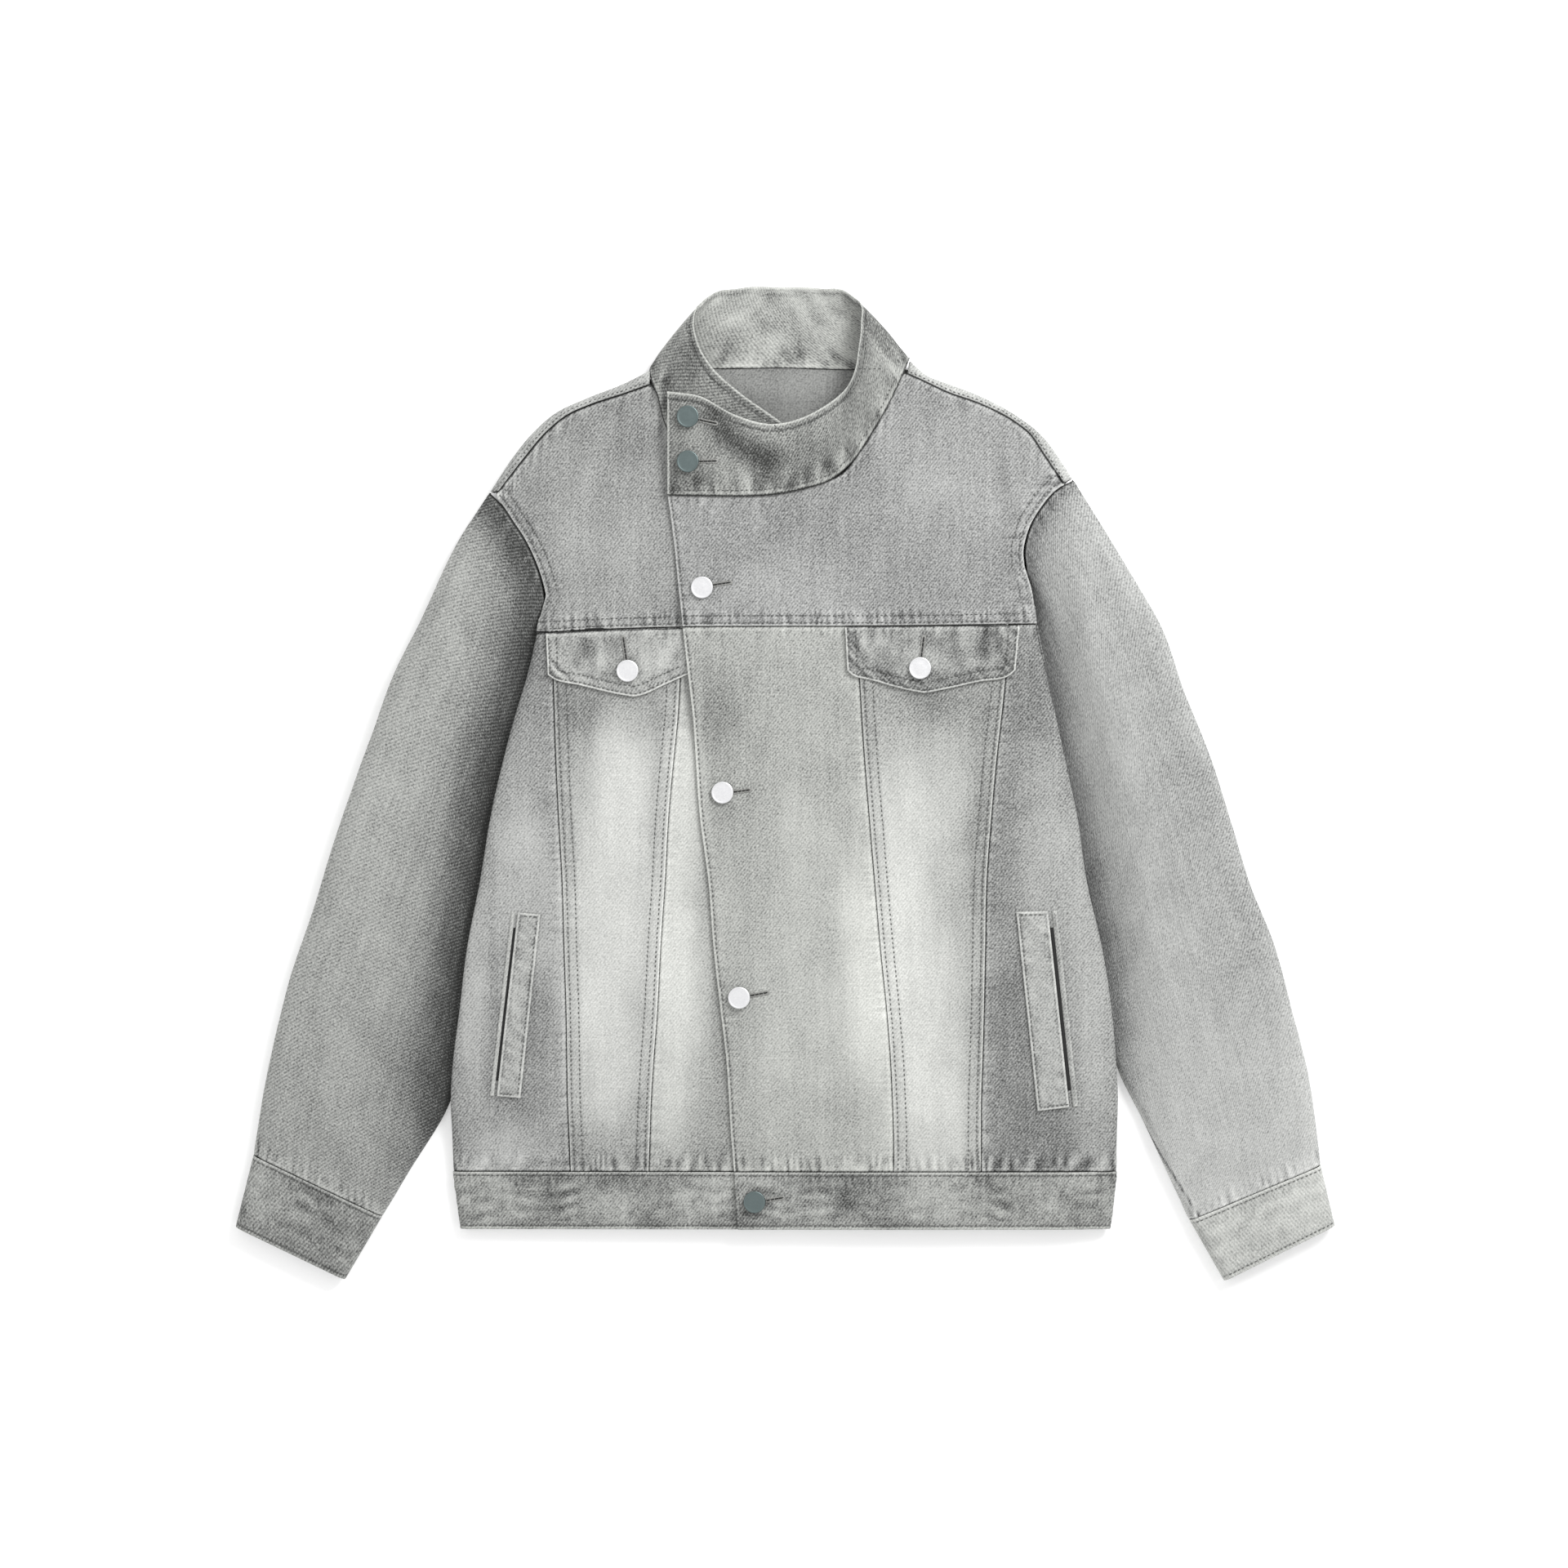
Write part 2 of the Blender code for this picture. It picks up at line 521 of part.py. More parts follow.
def outside_body(x, y, side):
    """How far a point is outside the body's edge, along x."""
    armhole = LEFT_ARMHOLE if side == "left" else RIGHT_ARMHOLE
    edge = np.array((*SIDE_LINES[side], *armhole[1:]), float)
    away = np.interp(y, edge[:, 1], edge[:, 0]) - x
    return away if side == "left" else -away


def sleeve_heights(plan, up, across, layer, side):
    """Outer heights of one layer of the sleeve, up being 0 at the cuff, across 0 at the outer fold."""
    width = np.linalg.norm(plan[:, -1] - plan[:, 0], axis=1)[:, None]
    across, up = across[None, :], up[:, None]
    from_outer, from_inner = across * width, (1.0 - across) * width
    peak = column(SLEEVE_HEIGHTS, "peak", up, "along")
    blend = smooth((up - 1.0 + ARMHOLE_BLEND) / ARMHOLE_BLEND)
    outer_mid = OUTER_MID * peak + (8.0 - OUTER_MID * peak) * blend
    if layer == "floor":
        floor = outer_mid * (1.0 - quarter(from_outer / SLEEVE_FLOOR_FOLD))
        return floor + INNER_MID * (1.0 - quarter(from_inner / SLEEVE_SEAM_FOLD))
    rise = smooth(outside_body(plan[..., 0], plan[..., 1], side) / SLEEVE_RISE)
    body = SLEEVE_UNDER_BODY + (peak - SLEEVE_UNDER_BODY) * rise
    top = body - (body - outer_mid) * (1.0 - quarter(from_outer / SLEEVE_FOLD))
    top = top - (body - INNER_MID) * (1.0 - quarter(from_inner / SLEEVE_SEAM_FOLD))
    split = SLEEVES[side]["goes_under"]
    armhole = column(ARMHOLE_HEIGHTS, "height", np.interp(across, (0.0, split, 1.0), (0.0, 0.5, 1.0)), "along")
    return top + (armhole - top) * blend


def make_sleeve(side):
    """A flattened tube, cut into an upper and an under sleeve at two seams along it."""
    lines = SLEEVES[side]
    cuff = (lines["outer"][0], lines["inner"][0])
    up = np.array((0.0, 0.1, 0.2, 0.32, 0.45, 0.58, 0.7, 0.8, 0.87, 0.93, 1.0))
    parts = []
    for layer, across in SLEEVE_LOOP:
        armhole = lines["front_armhole" if layer == "top" else "back_armhole"]
        full = np.array((0.0, *across, 1.0))
        plan = coons(cuff, armhole, lines["outer"], lines["inner"], full, up)
        height = sleeve_heights(plan, up, full, layer, side)
        parts.append(with_height(plan, height)[:, 1:-1])
    ring = np.concatenate(parts, axis=1)
    seam = ring.shape[1] + INNER_SEAM
    for name, piece in (("upper", ring[:, :seam + 1]), ("under", ring[:, seam:])):
        piece = inset(piece, ("bottom", "top", "left", "right"))
        add_sheet(f"sleeve_{side}_{name}", piece, SINGLE, "denim", side == "left")


def make_cuff(side):
    """A flattened ring, from the cuff seam to the sleeve's end."""
    lines = SLEEVES[side]
    seam = np.array((lines["outer"][0], lines["inner"][0]), float)
    end = np.array(lines["cuff_end"], float)
    down = (end - seam).mean(axis=0)
    down = down / np.linalg.norm(down)
    half = CUFF_HEIGHT / 2
    fold = half
    rings = []
    for share in (0.0, 0.5, 1.0):
        a, b = seam + (end - seam) * share + (down * GAP / 2 if share == 0.0 else 0.0)
        out = (b - a) / np.linalg.norm(b - a)
        ring = []
        for centre, turn in ((b - out * fold, -90.0), (a + out * fold, 90.0)):
            for step in range(5):
                angle = math.radians(turn + 45.0 * step)
                plan = centre + out * fold * math.cos(angle)
                ring.append((*plan, half * (1.0 + math.sin(angle))))
        rings.append(ring)
    add_sheet(f"cuff_{side}", np.array(rings), DOUBLE, "denim_band", side == "left", closed=True)


def make_collar():
    table = np.array(COLLAR, float)
    neck, rim = table[:, :3], table[:, 3:]
    middle = (neck + rim).mean(axis=0)
    outward = (neck + rim) / 2 - middle
    outward[:, 2] = np.where(table[:, 2] > 12.0, 40.0, 0.0)
    outward = outward / np.linalg.norm(outward, axis=1, keepdims=True)
    on_floor = (table[:, 2] < 1.0)[:, None]
    rows = []
    for share in np.linspace(0.0, 1.0, COLLAR_ROWS + 1):
        bulge = COLLAR_BULGE * math.sin(math.pi * share) * np.where(on_floor, 0.0, 1.0)
        rows.append(neck + (rim - neck) * share + outward * bulge)
    add_sheet("collar", np.array(rows), DOUBLE, "denim_band")


def lying_piece(name, corners, columns, rows, over):
    """A flap or a welt: made from the points of the panel below it, moved out."""
    across, up = np.linspace(0.0, 1.0, columns + 1), np.linspace(0.0, 1.0, rows + 1)
    bottom, top = along(corners["bottom"], across), along(corners["top"], across)
    plan = bottom + (top - bottom) * up[:, None, None]
    height = front_height(plan[..., 0], plan[..., 1], over) + LIE + DOUBLE
    add_sheet(name, with_height(plan, height), DOUBLE, "denim_band")


def make_pockets():
    lying_piece("flap_left", LEFT_FLAP, 4, 2, over=False)
    lying_piece("flap_right", RIGHT_FLAP, 4, 2, over=True)
    lying_piece("welt_left", LEFT_WELT, 2, 4, over=False)
    lying_piece("welt_right", RIGHT_WELT, 2, 4, over=True)


def button_seat(x, y, on):
    """Height of what a button stands on."""
    place = np.array(x, float), np.array(y, float)
    if on == "collar":
        return 24.6 + COLLAR_BULGE
    if on == "hem":
        return float(front_height(*place)) + DOUBLE + LIE
    if on == "flap":
        return float(front_height(*place, over=x > 0)) + LIE + DOUBLE
    return float(front_height(*place, over=True))


def make_button(name, x, y, on):
    """A turned shank button: a neck on the cloth and a flat cap with a rounded rim."""
    mesh = bmesh.new()
    base = button_seat(x, y, on) + LIE
    rings = []
    for radius, height in BUTTON_PROFILE:
        turn = [2.0 * math.pi * k / BUTTON_SIDES for k in range(BUTTON_SIDES)]
        ring = [(x + radius * math.cos(a), y + radius * math.sin(a), base + height) for a in turn]
        rings.append([mesh.verts.new(np.array(point) * MM) for point in ring])
    for low, high in zip(rings[:-1], rings[1:]):
        for i in range(BUTTON_SIDES):
            k = (i + 1) % BUTTON_SIDES
            mesh.faces.new((low[i], low[k], high[k], high[i]))
    mesh.faces.new(rings[0][::-1])
    mesh.faces.new(rings[-1])
    data = bpy.data.meshes.new(name)
    mesh.to_mesh(data)
    mesh.free()
    data.shade_smooth()
    data.set_sharp_from_angle(angle=math.radians(40))
    data.materials.append(material("metal"))
    obj = bpy.data.objects.new(name, data)
    bpy.context.scene.collection.objects.link(obj)


def main():
    clear_scene()
    make_front_panels()
    make_front_yokes()
    make_back_panels()
    make_back_yoke()
    make_hem_band()
    for side in SLEEVES:
        make_sleeve(side)
        make_cuff(side)
    make_collar()
    make_pockets()
    for name, x, y, on in BUTTONS:
        make_button(name, x, y, on)


main()
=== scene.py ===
"""Looks of the denim jacket: dense cloth, seams, stitches, buttons, materials, light and camera.

Sizes are in millimetres in the frame of the CAD: +Y to the collar, +Z up, the jacket on its back.
Left and right are as seen from above.
"""

import math

import bpy
import numpy as np
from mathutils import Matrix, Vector
from mathutils.bvhtree import BVHTree


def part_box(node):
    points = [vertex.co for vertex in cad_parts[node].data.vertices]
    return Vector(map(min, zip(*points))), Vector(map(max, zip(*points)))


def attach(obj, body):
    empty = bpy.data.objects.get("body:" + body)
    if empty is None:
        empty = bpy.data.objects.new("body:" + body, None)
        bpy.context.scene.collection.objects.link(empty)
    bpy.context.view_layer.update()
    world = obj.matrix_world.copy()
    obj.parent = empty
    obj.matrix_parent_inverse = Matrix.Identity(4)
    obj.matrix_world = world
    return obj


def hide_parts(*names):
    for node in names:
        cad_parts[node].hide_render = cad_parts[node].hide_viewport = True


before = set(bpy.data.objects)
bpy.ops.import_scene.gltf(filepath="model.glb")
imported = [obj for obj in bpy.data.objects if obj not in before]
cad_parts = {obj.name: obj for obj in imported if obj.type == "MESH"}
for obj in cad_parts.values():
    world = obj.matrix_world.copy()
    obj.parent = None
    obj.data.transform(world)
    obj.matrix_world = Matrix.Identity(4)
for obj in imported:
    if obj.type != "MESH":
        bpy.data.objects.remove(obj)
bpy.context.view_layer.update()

MM = 0.001
CLOTH = 1.2  # wall of one layer as it shows
DOUBLED = 1.7  # wall of a doubled piece
LIE = 0.9  # a flap's underside over the panel

# ---------------------------------------------------------------- the jacket's sizes, as in the CAD

CROWN, CROWN_AT = 1.5, 200.0
FOLD = 9.0
OVERLAP_RISE = 2.4
FLAP_RISE, FLAP_RISE_Y, FLAP_RISE_FADE = 2.6, (66.0, 124.0), 45.0
UNDERLAP = 60.0
LIFT_FROM, LIFT_TO = 24.0, 72.0

HEIGHTS = {
    "y":     (-350, -305, -276, -249, -218, -179, -78, -20, 50, 110, 131, 146, 180, 230, 300, 330),
    "front": (13.0, 13.5, 15.0, 17.0, 18.5, 20.0, 21, 21, 21, 20.5, 20, 19.5, 19, 17.5, 15.5, 15),
    "under": (0.0, 0.0, 3.0, 6.5, 9.0, 9.5, 9.5, 9.5, 9.5, 9.5, 12, 16, 17, 15, 14, 14),
    "back":  (0.0, 0.0, 3.0, 6.5, 9.0, 9.5, 9.5, 9.5, 0, 0, 0, 0, 0, 0, 0, 0),
}
BODY = {
    "y":       (-305, -276, -249, -218, -179, -130, -78, -24, 20, 50, 85, 120),
    "left":    (-260, -261, -262, -260, -255, -249, -239, -230, -220, -212, -201.5, -193.5),
    "seam_a":  (-168, -169, -170, -170.5, -171, -172.5, -174, -177, -179, -180, -181, -182),
    "seam_b":  (-107, -106, -105, -103, -100, -97.5, -94, -91, -87, -84, -82, -80),
    "placket": (-40, -42.5, -44, -46, -50.5, -56, -60, -67, -70, -72, -76, -80),
    "seam_c":  (85, 85, 84, 82.5, 79.5, 74.5, 70, 65.5, 62, 60, 58, 56),
    "seam_d":  (153, 153, 153, 154, 155, 156, 157, 161, 165, 168.5, 172, 174),
    "right":   (259.5, 260, 260.5, 259, 255.5, 248, 236, 228, 218.5, 212, 204, 196.5),
}
SIDE_TOP = {"left": ((-191, 131), (-187, 146)), "right": ((192, 152), (187, 168))}
YOKE_SEAM = ((-194, 117), (-150, 119.3), (-110, 120.8), (-80, 121.5), (0, 122), (56, 122), (120, 122.6),
             (196.5, 124))
PLACKET_TOP = ((-80, 121.5), (-84, 158), (-87, 188), (-92, 225))
LEFT_ARMHOLE = ((-187, 146), (-189, 155), (-196, 175), (-204, 191), (-212, 203), (-222, 218), (-231, 228))
RIGHT_ARMHOLE = ((187, 168), (186, 181), (188, 191), (192, 202), (200, 215), (210, 227), (225, 237))
LEFT_SHOULDER = ((-224, 228), (-204, 254), (-187, 274), (-171, 287), (-151, 296), (-128, 303.5), (-104, 312))
RIGHT_SHOULDER = ((92, 321), (108, 314), (127, 305), (150, 297), (181, 281), (191, 273), (202, 257),
                  (217, 234))
LOWER_NECK = ((-104, 312), (-99, 303), (-93, 281), (-88, 270), (-75, 252), (-55, 236), (-32, 228))
UPPER_NECK = ((-92, 225), (-49, 224.5), (-16, 225), (5, 228), (27, 234), (44, 241), (59, 260), (74, 284),
              (87, 310), (92, 321))
LEFT_SHOULDER_FOLD = ((-231, 228), (-214, 254), (-196, 276), (-181, 289), (-156, 301), (-128, 312),
                      (-104, 324))
RIGHT_SHOULDER_FOLD = ((95, 333), (111, 319), (129, 312), (150, 304), (182, 287), (202, 271),
                       (211.5, 259), (225, 238))
BACK_YOKE_Y, BACK_NECK_Y = 165.0, 325.0
BACK_SEAM_TOP, BACK_SEAM_HEM = 118.0, 92.0
BACK_SIDE_EDGE = {"y": (-78, -50, -20, 0, 25, 50), "inset": (0, 11, 26, 27, 26, 24)}
LEFT_BACK_ARMHOLE = ((-188, 50), (-190.5, 70), (-194.5, 110), (-198, 150), (-200.5, 165))
RIGHT_BACK_ARMHOLE = ((188, 50), (189.5, 70), (192.5, 110), (195.5, 150), (197.5, 165))
SHOULDER_FOLD, SHOULDER_HEIGHT = 0.55, 15.5
HEM_LEFT, HEM_RIGHT, HEM_Y, HEM_SEAM_Y = -254.0, 254.5, -350.0, -305.0

SLEEVES = {
    "left": {
        "outer": ((-417, -292), (-408, -237), (-398, -191), (-387, -149), (-370, -100), (-356, -54),
                  (-343, -15), (-324, 37), (-306, 86), (-285, 128), (-257, 188), (-232, 227)),
        "inner": ((-316, -340), (-295, -305), (-262, -248), (-251, -200), (-232, -110), (-208, -25),
                  (-190, 50)),
        "front_armhole": ((-232, 227), (-223.5, 219), (-213.3, 204), (-205.3, 192), (-197.3, 176),
                          (-190.3, 155), (-188.5, 146), (-187, 130), (-188, 100), (-190, 50)),
        "back_armhole": ((-232, 227), (-213, 195), (-205, 165), (-201.5, 150), (-198, 110), (-194, 70),
                         (-190, 50)),
        "cuff_end": ((-431, -348), (-345, -389.5)),
        "goes_under": 0.50,
    },
    "right": {
        "outer": ((420, -300), (411, -233), (397, -177), (383, -126), (364, -79), (350, -33), (332, 23),
                  (313, 70), (295, 121), (271, 163), (252, 195), (226, 237)),
        "inner": ((317, -343), (281, -266), (260, -222), (252, -190), (231, -110), (207, -30), (190, 50)),
        "front_armhole": ((226, 237), (211.5, 228), (201.3, 216), (193.3, 203), (189.3, 191.5),
                          (187.4, 181), (188.4, 168), (188, 145), (188, 100), (190, 50)),
        "back_armhole": ((226, 237), (209, 200), (202, 165), (199.5, 150), (196.5, 110), (193, 70),
                         (190, 50)),
        "cuff_end": ((431, -347), (344, -390.5)),
        "goes_under": 0.42,
    },
}
SLEEVE_HEIGHTS = {
    "along": (0.0, 0.15, 0.3, 0.5, 0.7, 0.85, 1.0),
    "peak":  (15.0, 17.0, 20.0, 24.0, 26.0, 25.0, 20.0),
}
ARMHOLE_HEIGHTS = {
    "along":  (0, 0.05, 0.1, 0.2, 0.35, 0.46, 0.5, 0.54, 0.58, 0.64, 0.74, 0.96, 1.0),
    "height": (8, 13.5, 16.2, 17.6, 18.2, 18.4, 17.4, 13, 10.0, 8.0, 7.4, 7.2, 3.5),
}
SLEEVE_UNDER_BODY, SLEEVE_RISE = 7.8, 45.0
SLEEVE_FOLD, SLEEVE_SEAM_FOLD, SLEEVE_FLOOR_FOLD = 14.0, 6.0, 7.0
OUTER_MID, INNER_MID, ARMHOLE_BLEND = 0.45, 3.5, 0.16
ARMHOLE_OUTER_MID = 8.0
CUFF_HEIGHT = 14.0

COLLAR = (  # neck x, y, z and rim x, y, z
    (-92, 225.4, 23.2, -92, 305, 24.4),
    (-62, 224.8, 23.2, -66, 301, 24.8),
    (-34, 224.8, 23.2, -40, 287, 24.8),
    (-8, 226.3, 23.2, -12, 279.5, 24.8),
    (16, 231.0, 23.0, 12, 284, 24.8),
    (36, 238.0, 22.8, 33, 295, 24.6),
    (53, 252.5, 22.4, 47, 307, 24.3),
    (66, 272.0, 22.0, 54, 321, 23.8),
    (78, 292.0, 21.5, 57, 338, 23.0),
    (89.5, 316.0, 20.4, 59, 358, 21.0),
    (97.5, 332.0, 10.5, 57, 377, 14.0),
    (95, 329.5, 3.0, 46, 386, 6.0),
    (76, 325.6, 0.0, 30, 388, 1.0),
    (0, 325.4, 0.0, -4, 389, 0.0),
    (-80, 325.6, 0.0, -38, 388, 1.0),
    (-102, 327.0, 2.5, -56, 384, 5.0),
    (-106.5, 325.5, 9.0, -67, 375, 10.0),
    (-104.5, 315.0, 16.6, -71.5, 361, 15.5),
    (-99.3, 303, 18.4, -69, 346, 17.4),
    (-93.3, 281, 19.3, -59, 327, 18.4),
    (-75.5, 252.6, 20.0, -36, 305, 19.2),
    (-55.5, 236.7, 20.2, -4, 282, 19.8),
    (-32, 228.7, 20.2, 18, 264, 19.8),
)
COLLAR_BULGE = 1.2
NECK_LAP = 1.4

# ---------------------------------------------------------------- what only shows

# Soft ridges (+) and troughs (-) in the cloth. Columns: points, half width, height, pieces.
CREASES = (
    (((-150, 289), (-156, 257), (-169, 215), (-178, 166)), 9.0, 1.9, "body"),
    (((-164, 275), (-172, 240), (-184, 200)), 8.0, -1.5, "body"),
    (((-120, 290), (-124, 250), (-136, 205)), 12.0, 0.8, "body"),
    (((172, 278), (175, 238), (181, 205)), 5.0, 1.6, "body"),
    (((193, 258), (185, 233), (180, 205)), 4.5, 1.5, "body"),
    (((187, 250), (181, 228), (178, 205)), 4.0, -1.6, "body"),
    (((162, 262), (165, 230), (172, 190)), 7.0, -1.1, "body"),
    (((186, 170), (178, 140), (170, 128)), 6.0, 0.9, "body"),
    (((-60, 205), (-66, 175), (-58, 145)), 7.0, 0.7, "body"),
    (((-38, 200), (-30, 165), (-34, 135)), 9.0, -0.6, "body"),
    (((-40, 40), (-36, 8), (-44, -30)), 5.5, 0.8, "body"),
    (((-31, 30), (-26, 0), (-33, -28)), 5.0, -0.7, "body"),
    (((-28, -130), (-22, -165), (-30, -200)), 6.0, 0.6, "body"),
    (((-214, 60), (-206, 20), (-214, -40)), 14.0, 0.9, "body"),
    (((214, 40), (204, 0), (212, -60)), 13.0, 0.9, "body"),
    (((-240, -262), (-210, -270), (-180, -266)), 8.0, 0.8, "body"),
    (((-232, -285), (-200, -291), (-175, -287)), 5.0, -0.7, "body"),
    (((232, -262), (200, -272), (170, -268)), 8.0, 0.8, "body"),
    (((240, -286), (205, -292), (165, -288)), 5.0, -0.7, "body"),
    (((-150, -262), (-128, -270), (-112, -264)), 6.0, 0.6, "body"),
    (((0, -268), (30, -276), (64, -270)), 7.0, 0.6, "body"),
    (((-236, 190), (-262, 130), (-270, 80)), 13.0, 1.3, "sleeve"),
    (((-215, 165), (-228, 110), (-236, 60)), 8.0, -1.6, "sleeve"),
    (((-246, 20), (-272, -20), (-296, -40)), 15.0, 1.1, "sleeve"),
    (((-262, -70), (-290, -100), (-330, -120)), 14.0, -0.9, "sleeve"),
    (((-276, -150), (-320, -178), (-372, -182)), 18.0, 0.9, "sleeve"),
    (((-300, -262), (-340, -276), (-392, -262)), 12.0, 0.9, "sleeve"),
    (((-318, -300), (-350, -304), (-390, -284)), 7.0, -0.8, "sleeve"),
    (((208, 192), (232, 140), (238, 90)), 9.0, 1.2, "sleeve"),
    (((202, 168), (216, 120), (222, 70)), 6.0, -1.4, "sleeve"),
    (((250, 20), (276, -20), (300, -44)), 14.0, 1.0, "sleeve"),
    (((262, -80), (300, -112), (340, -124)), 14.0, -0.9, "sleeve"),
    (((282, -170), (330, -190), (384, -190)), 18.0, 0.9, "sleeve"),
    (((306, -272), (350, -286), (400, -270)), 11.0, 0.9, "sleeve"),
    (((322, -308), (352, -312), (396, -292)), 7.0, -0.8, "sleeve"),
)

# Washed-out places, and, with negative amounts, painted shadow below both flaps and beside the placket where
# the over-front lifts at the flaps. Columns: x, y, half width, half height, how much paler, turned by degrees.
FADES_AND_SHADOWS = (
    (-137, -115, 34, 118, 0.46, -2),
    (-126, 5, 22, 55, 0.30, 0),
    (-138, -215, 26, 50, 0.22, 0),
    (-83, -150, 19, 85, 0.46, 3),
    (-80, 0, 14, 80, 0.34, 2),
    (-92, -255, 14, 40, 0.16, 0),
    (110, -200, 32, 100, 0.46, 3),
    (88, -70, 20, 90, 0.34, 5),
    (118, -20, 26, 60, 0.16, 0),
    (60, -150, 16, 85, 0.30, 5),
    (20, -60, 30, 90, 0.08, 0),
    (240, -185, 16, 115, 0.12, 3),
    (205, -60, 26, 70, 0.10, 0),
    (-244, -170, 12, 90, 0.14, 0),
    (-205, -60, 24, 90, 0.12, 0),
    (-215, -285, 26, 16, 0.12, 0),
    # painted shadow beside the placket, where the over-front lifts at the flaps
    (-60, 55, 26, 34, -0.08, 0),
    (10, -220, 36, 70, 0.10, 0),
    # this and the next: painted shadow below the right and the left flap
    (110, 60, 60, 16, -0.04, 0),
    (-135, 55, 40, 18, -0.08, 0),
    (0, 150, 60, 30, 0.06, 0),
    (-150, 190, 40, 50, 0.05, 0),
    (120, 240, 60, 50, 0.04, 0),
)

BUTTONS = (  # node, x, y, finish
    ("button_collar_top", -76, 285, "button_grey"),
    ("button_collar_low", -76, 250, "button_grey"),
    ("button_chest", -65, 152, "button_silver"),
    ("button_waist", -49, -8, "button_silver"),
    ("button_lower", -36, -168, "button_silver"),
    ("button_hem", -24, -328, "button_grey"),
    ("button_left_flap", -123, 87, "button_silver"),
    ("button_right_flap", 105, 89, "button_silver"),
)
BUTTONHOLES = (  # piece, x and y of the end by the button, and of the far end
    ("collar", (-70, 283), (-54, 280)),
    ("collar", (-70, 250), (-54, 250.5)),
    ("front_yoke_over", (-59, 153.5), (-43, 156)),
    ("front_centre_over", (-43, -8), (-28, -6)),
    ("front_centre_over", (-30, -167), (-14, -164)),
    ("hem_band", (-18, -327.5), (-2, -325)),
    ("flap_left", (-123.5, 92), (-126.5, 113)),
    ("flap_right", (105.5, 94), (108, 113)),
)

FLAPS = {
    "left": {"top": ((-187, 116.5), (-130, 119), (-75, 120.5)),
             "bottom": ((-185.5, 84.0), (-181, 80.8), (-160, 75.6), (-124, 67.6), (-118, 66.8),
                        (-112, 68.0), (-95, 75.5), (-77, 83.5), (-72, 85.5)), "over": False},
    "right": {"top": ((46.5, 121.5), (110, 122), (183, 122.8)),
              "bottom": ((48.2, 87.0), (52, 83.6), (66, 79.8), (102, 70.6), (109, 69.6), (116, 70.8),
                         (150, 78.2), (176, 84.0), (179.6, 87.5)), "over": True},
}
WELTS = {
    "left": {"top": ((-214, -101), (-191, -103)), "bottom": ((-231, -245), (-207, -247)), "over": False},
    "right": {"top": ((212, -100), (180, -101)), "bottom": ((229, -253), (197, -257)), "over": True},
}

PLAIN_EDGE = {"rows": (), "lift": 0.0, "width": 0.0, "pucker": 0.0}

# How each kind of edge is made: its rows of stitches, lift, width of the turning and puckering
EDGES = {
    "felled": {"rows": (3.2, 9.8), "lift": 0.85, "width": 11.5, "pucker": 0.13},
    "yoke":   {"rows": (2.4, 8.0), "lift": 0.95, "width": 10.0, "pucker": 0.42},
    "arm":    {"rows": (3.4, 9.4), "lift": 0.85, "width": 11.5, "pucker": 0.28},
    "free":   {"rows": (2.6,), "lift": 0.55, "width": 7.0, "pucker": 0.18},
    "low":    {**PLAIN_EDGE, "pucker": 0.24},
    "hem":    {**PLAIN_EDGE, "pucker": 0.55},
    "shoulder": {**PLAIN_EDGE, "pucker": 0.30},
    "flap":   {"rows": (2.2, 8.2), "lift": 0.35, "width": 10.5, "pucker": 0.45},
    "fold":   PLAIN_EDGE,
    "hidden": PLAIN_EDGE,
}
SPACING = {  # distances of the mesh's lines from an edge
    "felled": (0, 0.35, 0.9, 1.7, 2.5, 3.2, 3.9, 5.0, 7.0, 9.1, 9.8, 10.5, 11.6, 13.4),
    "yoke":   (0, 0.35, 0.9, 1.7, 2.4, 3.1, 4.6, 6.2, 7.4, 8.0, 8.6, 10.0, 11.8),
    "arm":    (0, 0.35, 0.9, 1.8, 2.7, 3.4, 4.1, 5.4, 7.2, 8.7, 9.4, 10.1, 11.5, 13.4),
    "free":   (0, 0.3, 0.8, 1.4, 2.0, 2.6, 3.2, 4.4, 6.2, 8.4),
    "low":    (0, 0.4, 0.9, 1.6, 2.6, 4.2, 6.4),
    "hem":    (0, 0.4, 0.9, 1.6, 2.6, 4.0, 5.8),
    "flap":   (0, 0.3, 0.8, 1.5, 2.2, 2.9, 4.2, 6.0, 7.5, 8.2, 8.9, 10.4),
    "fold":   (0, 0.15, 0.5, 1.1, 2.0, 3.2, 4.8, 6.8, 9.0),
    "hidden": (0, 3.0),
}
SPACING["shoulder"] = SPACING["low"]

TONES = {  # linear colours of the denim, from its darkest to its most washed
    "darkest": (0.040, 0.041, 0.039),
    "dark": (0.150, 0.153, 0.147),
    "middle": (0.400, 0.408, 0.386),
    "pale": (0.680, 0.690, 0.650),
    "palest": (0.860, 0.870, 0.830),
}


# ---------------------------------------------------------------- plain helpers

def smooth(share):
    t = np.clip(share, 0.0, 1.0)
    return t * t * (3.0 - 2.0 * t)


def quarter(share):
    """Height of a quarter circle: 0 at its edge, 1 from one radius in."""
    inward = 1.0 - np.clip(share, 0.0, 1.0)
    return np.sqrt(1.0 - inward * inward)


def bell(distance, width):
    return np.exp(-((distance / width) ** 2))


def cubic(p, t, at):
    """Points at these places on the smooth line that is at p at t."""
    slope = np.gradient(p, t, axis=0)
    k = np.clip(np.searchsorted(t, at, side="right") - 1, 0, len(p) - 2)
    h = (t[k + 1] - t[k])[:, None]
    s = (at[:, None] - t[k][:, None]) / h
    return ((2 * s**3 - 3 * s**2 + 1) * p[k] + (s**3 - 2 * s**2 + s) * h * slope[k]
            + (3 * s**2 - 2 * s**3) * p[k + 1] + (s**3 - s**2) * h * slope[k + 1])


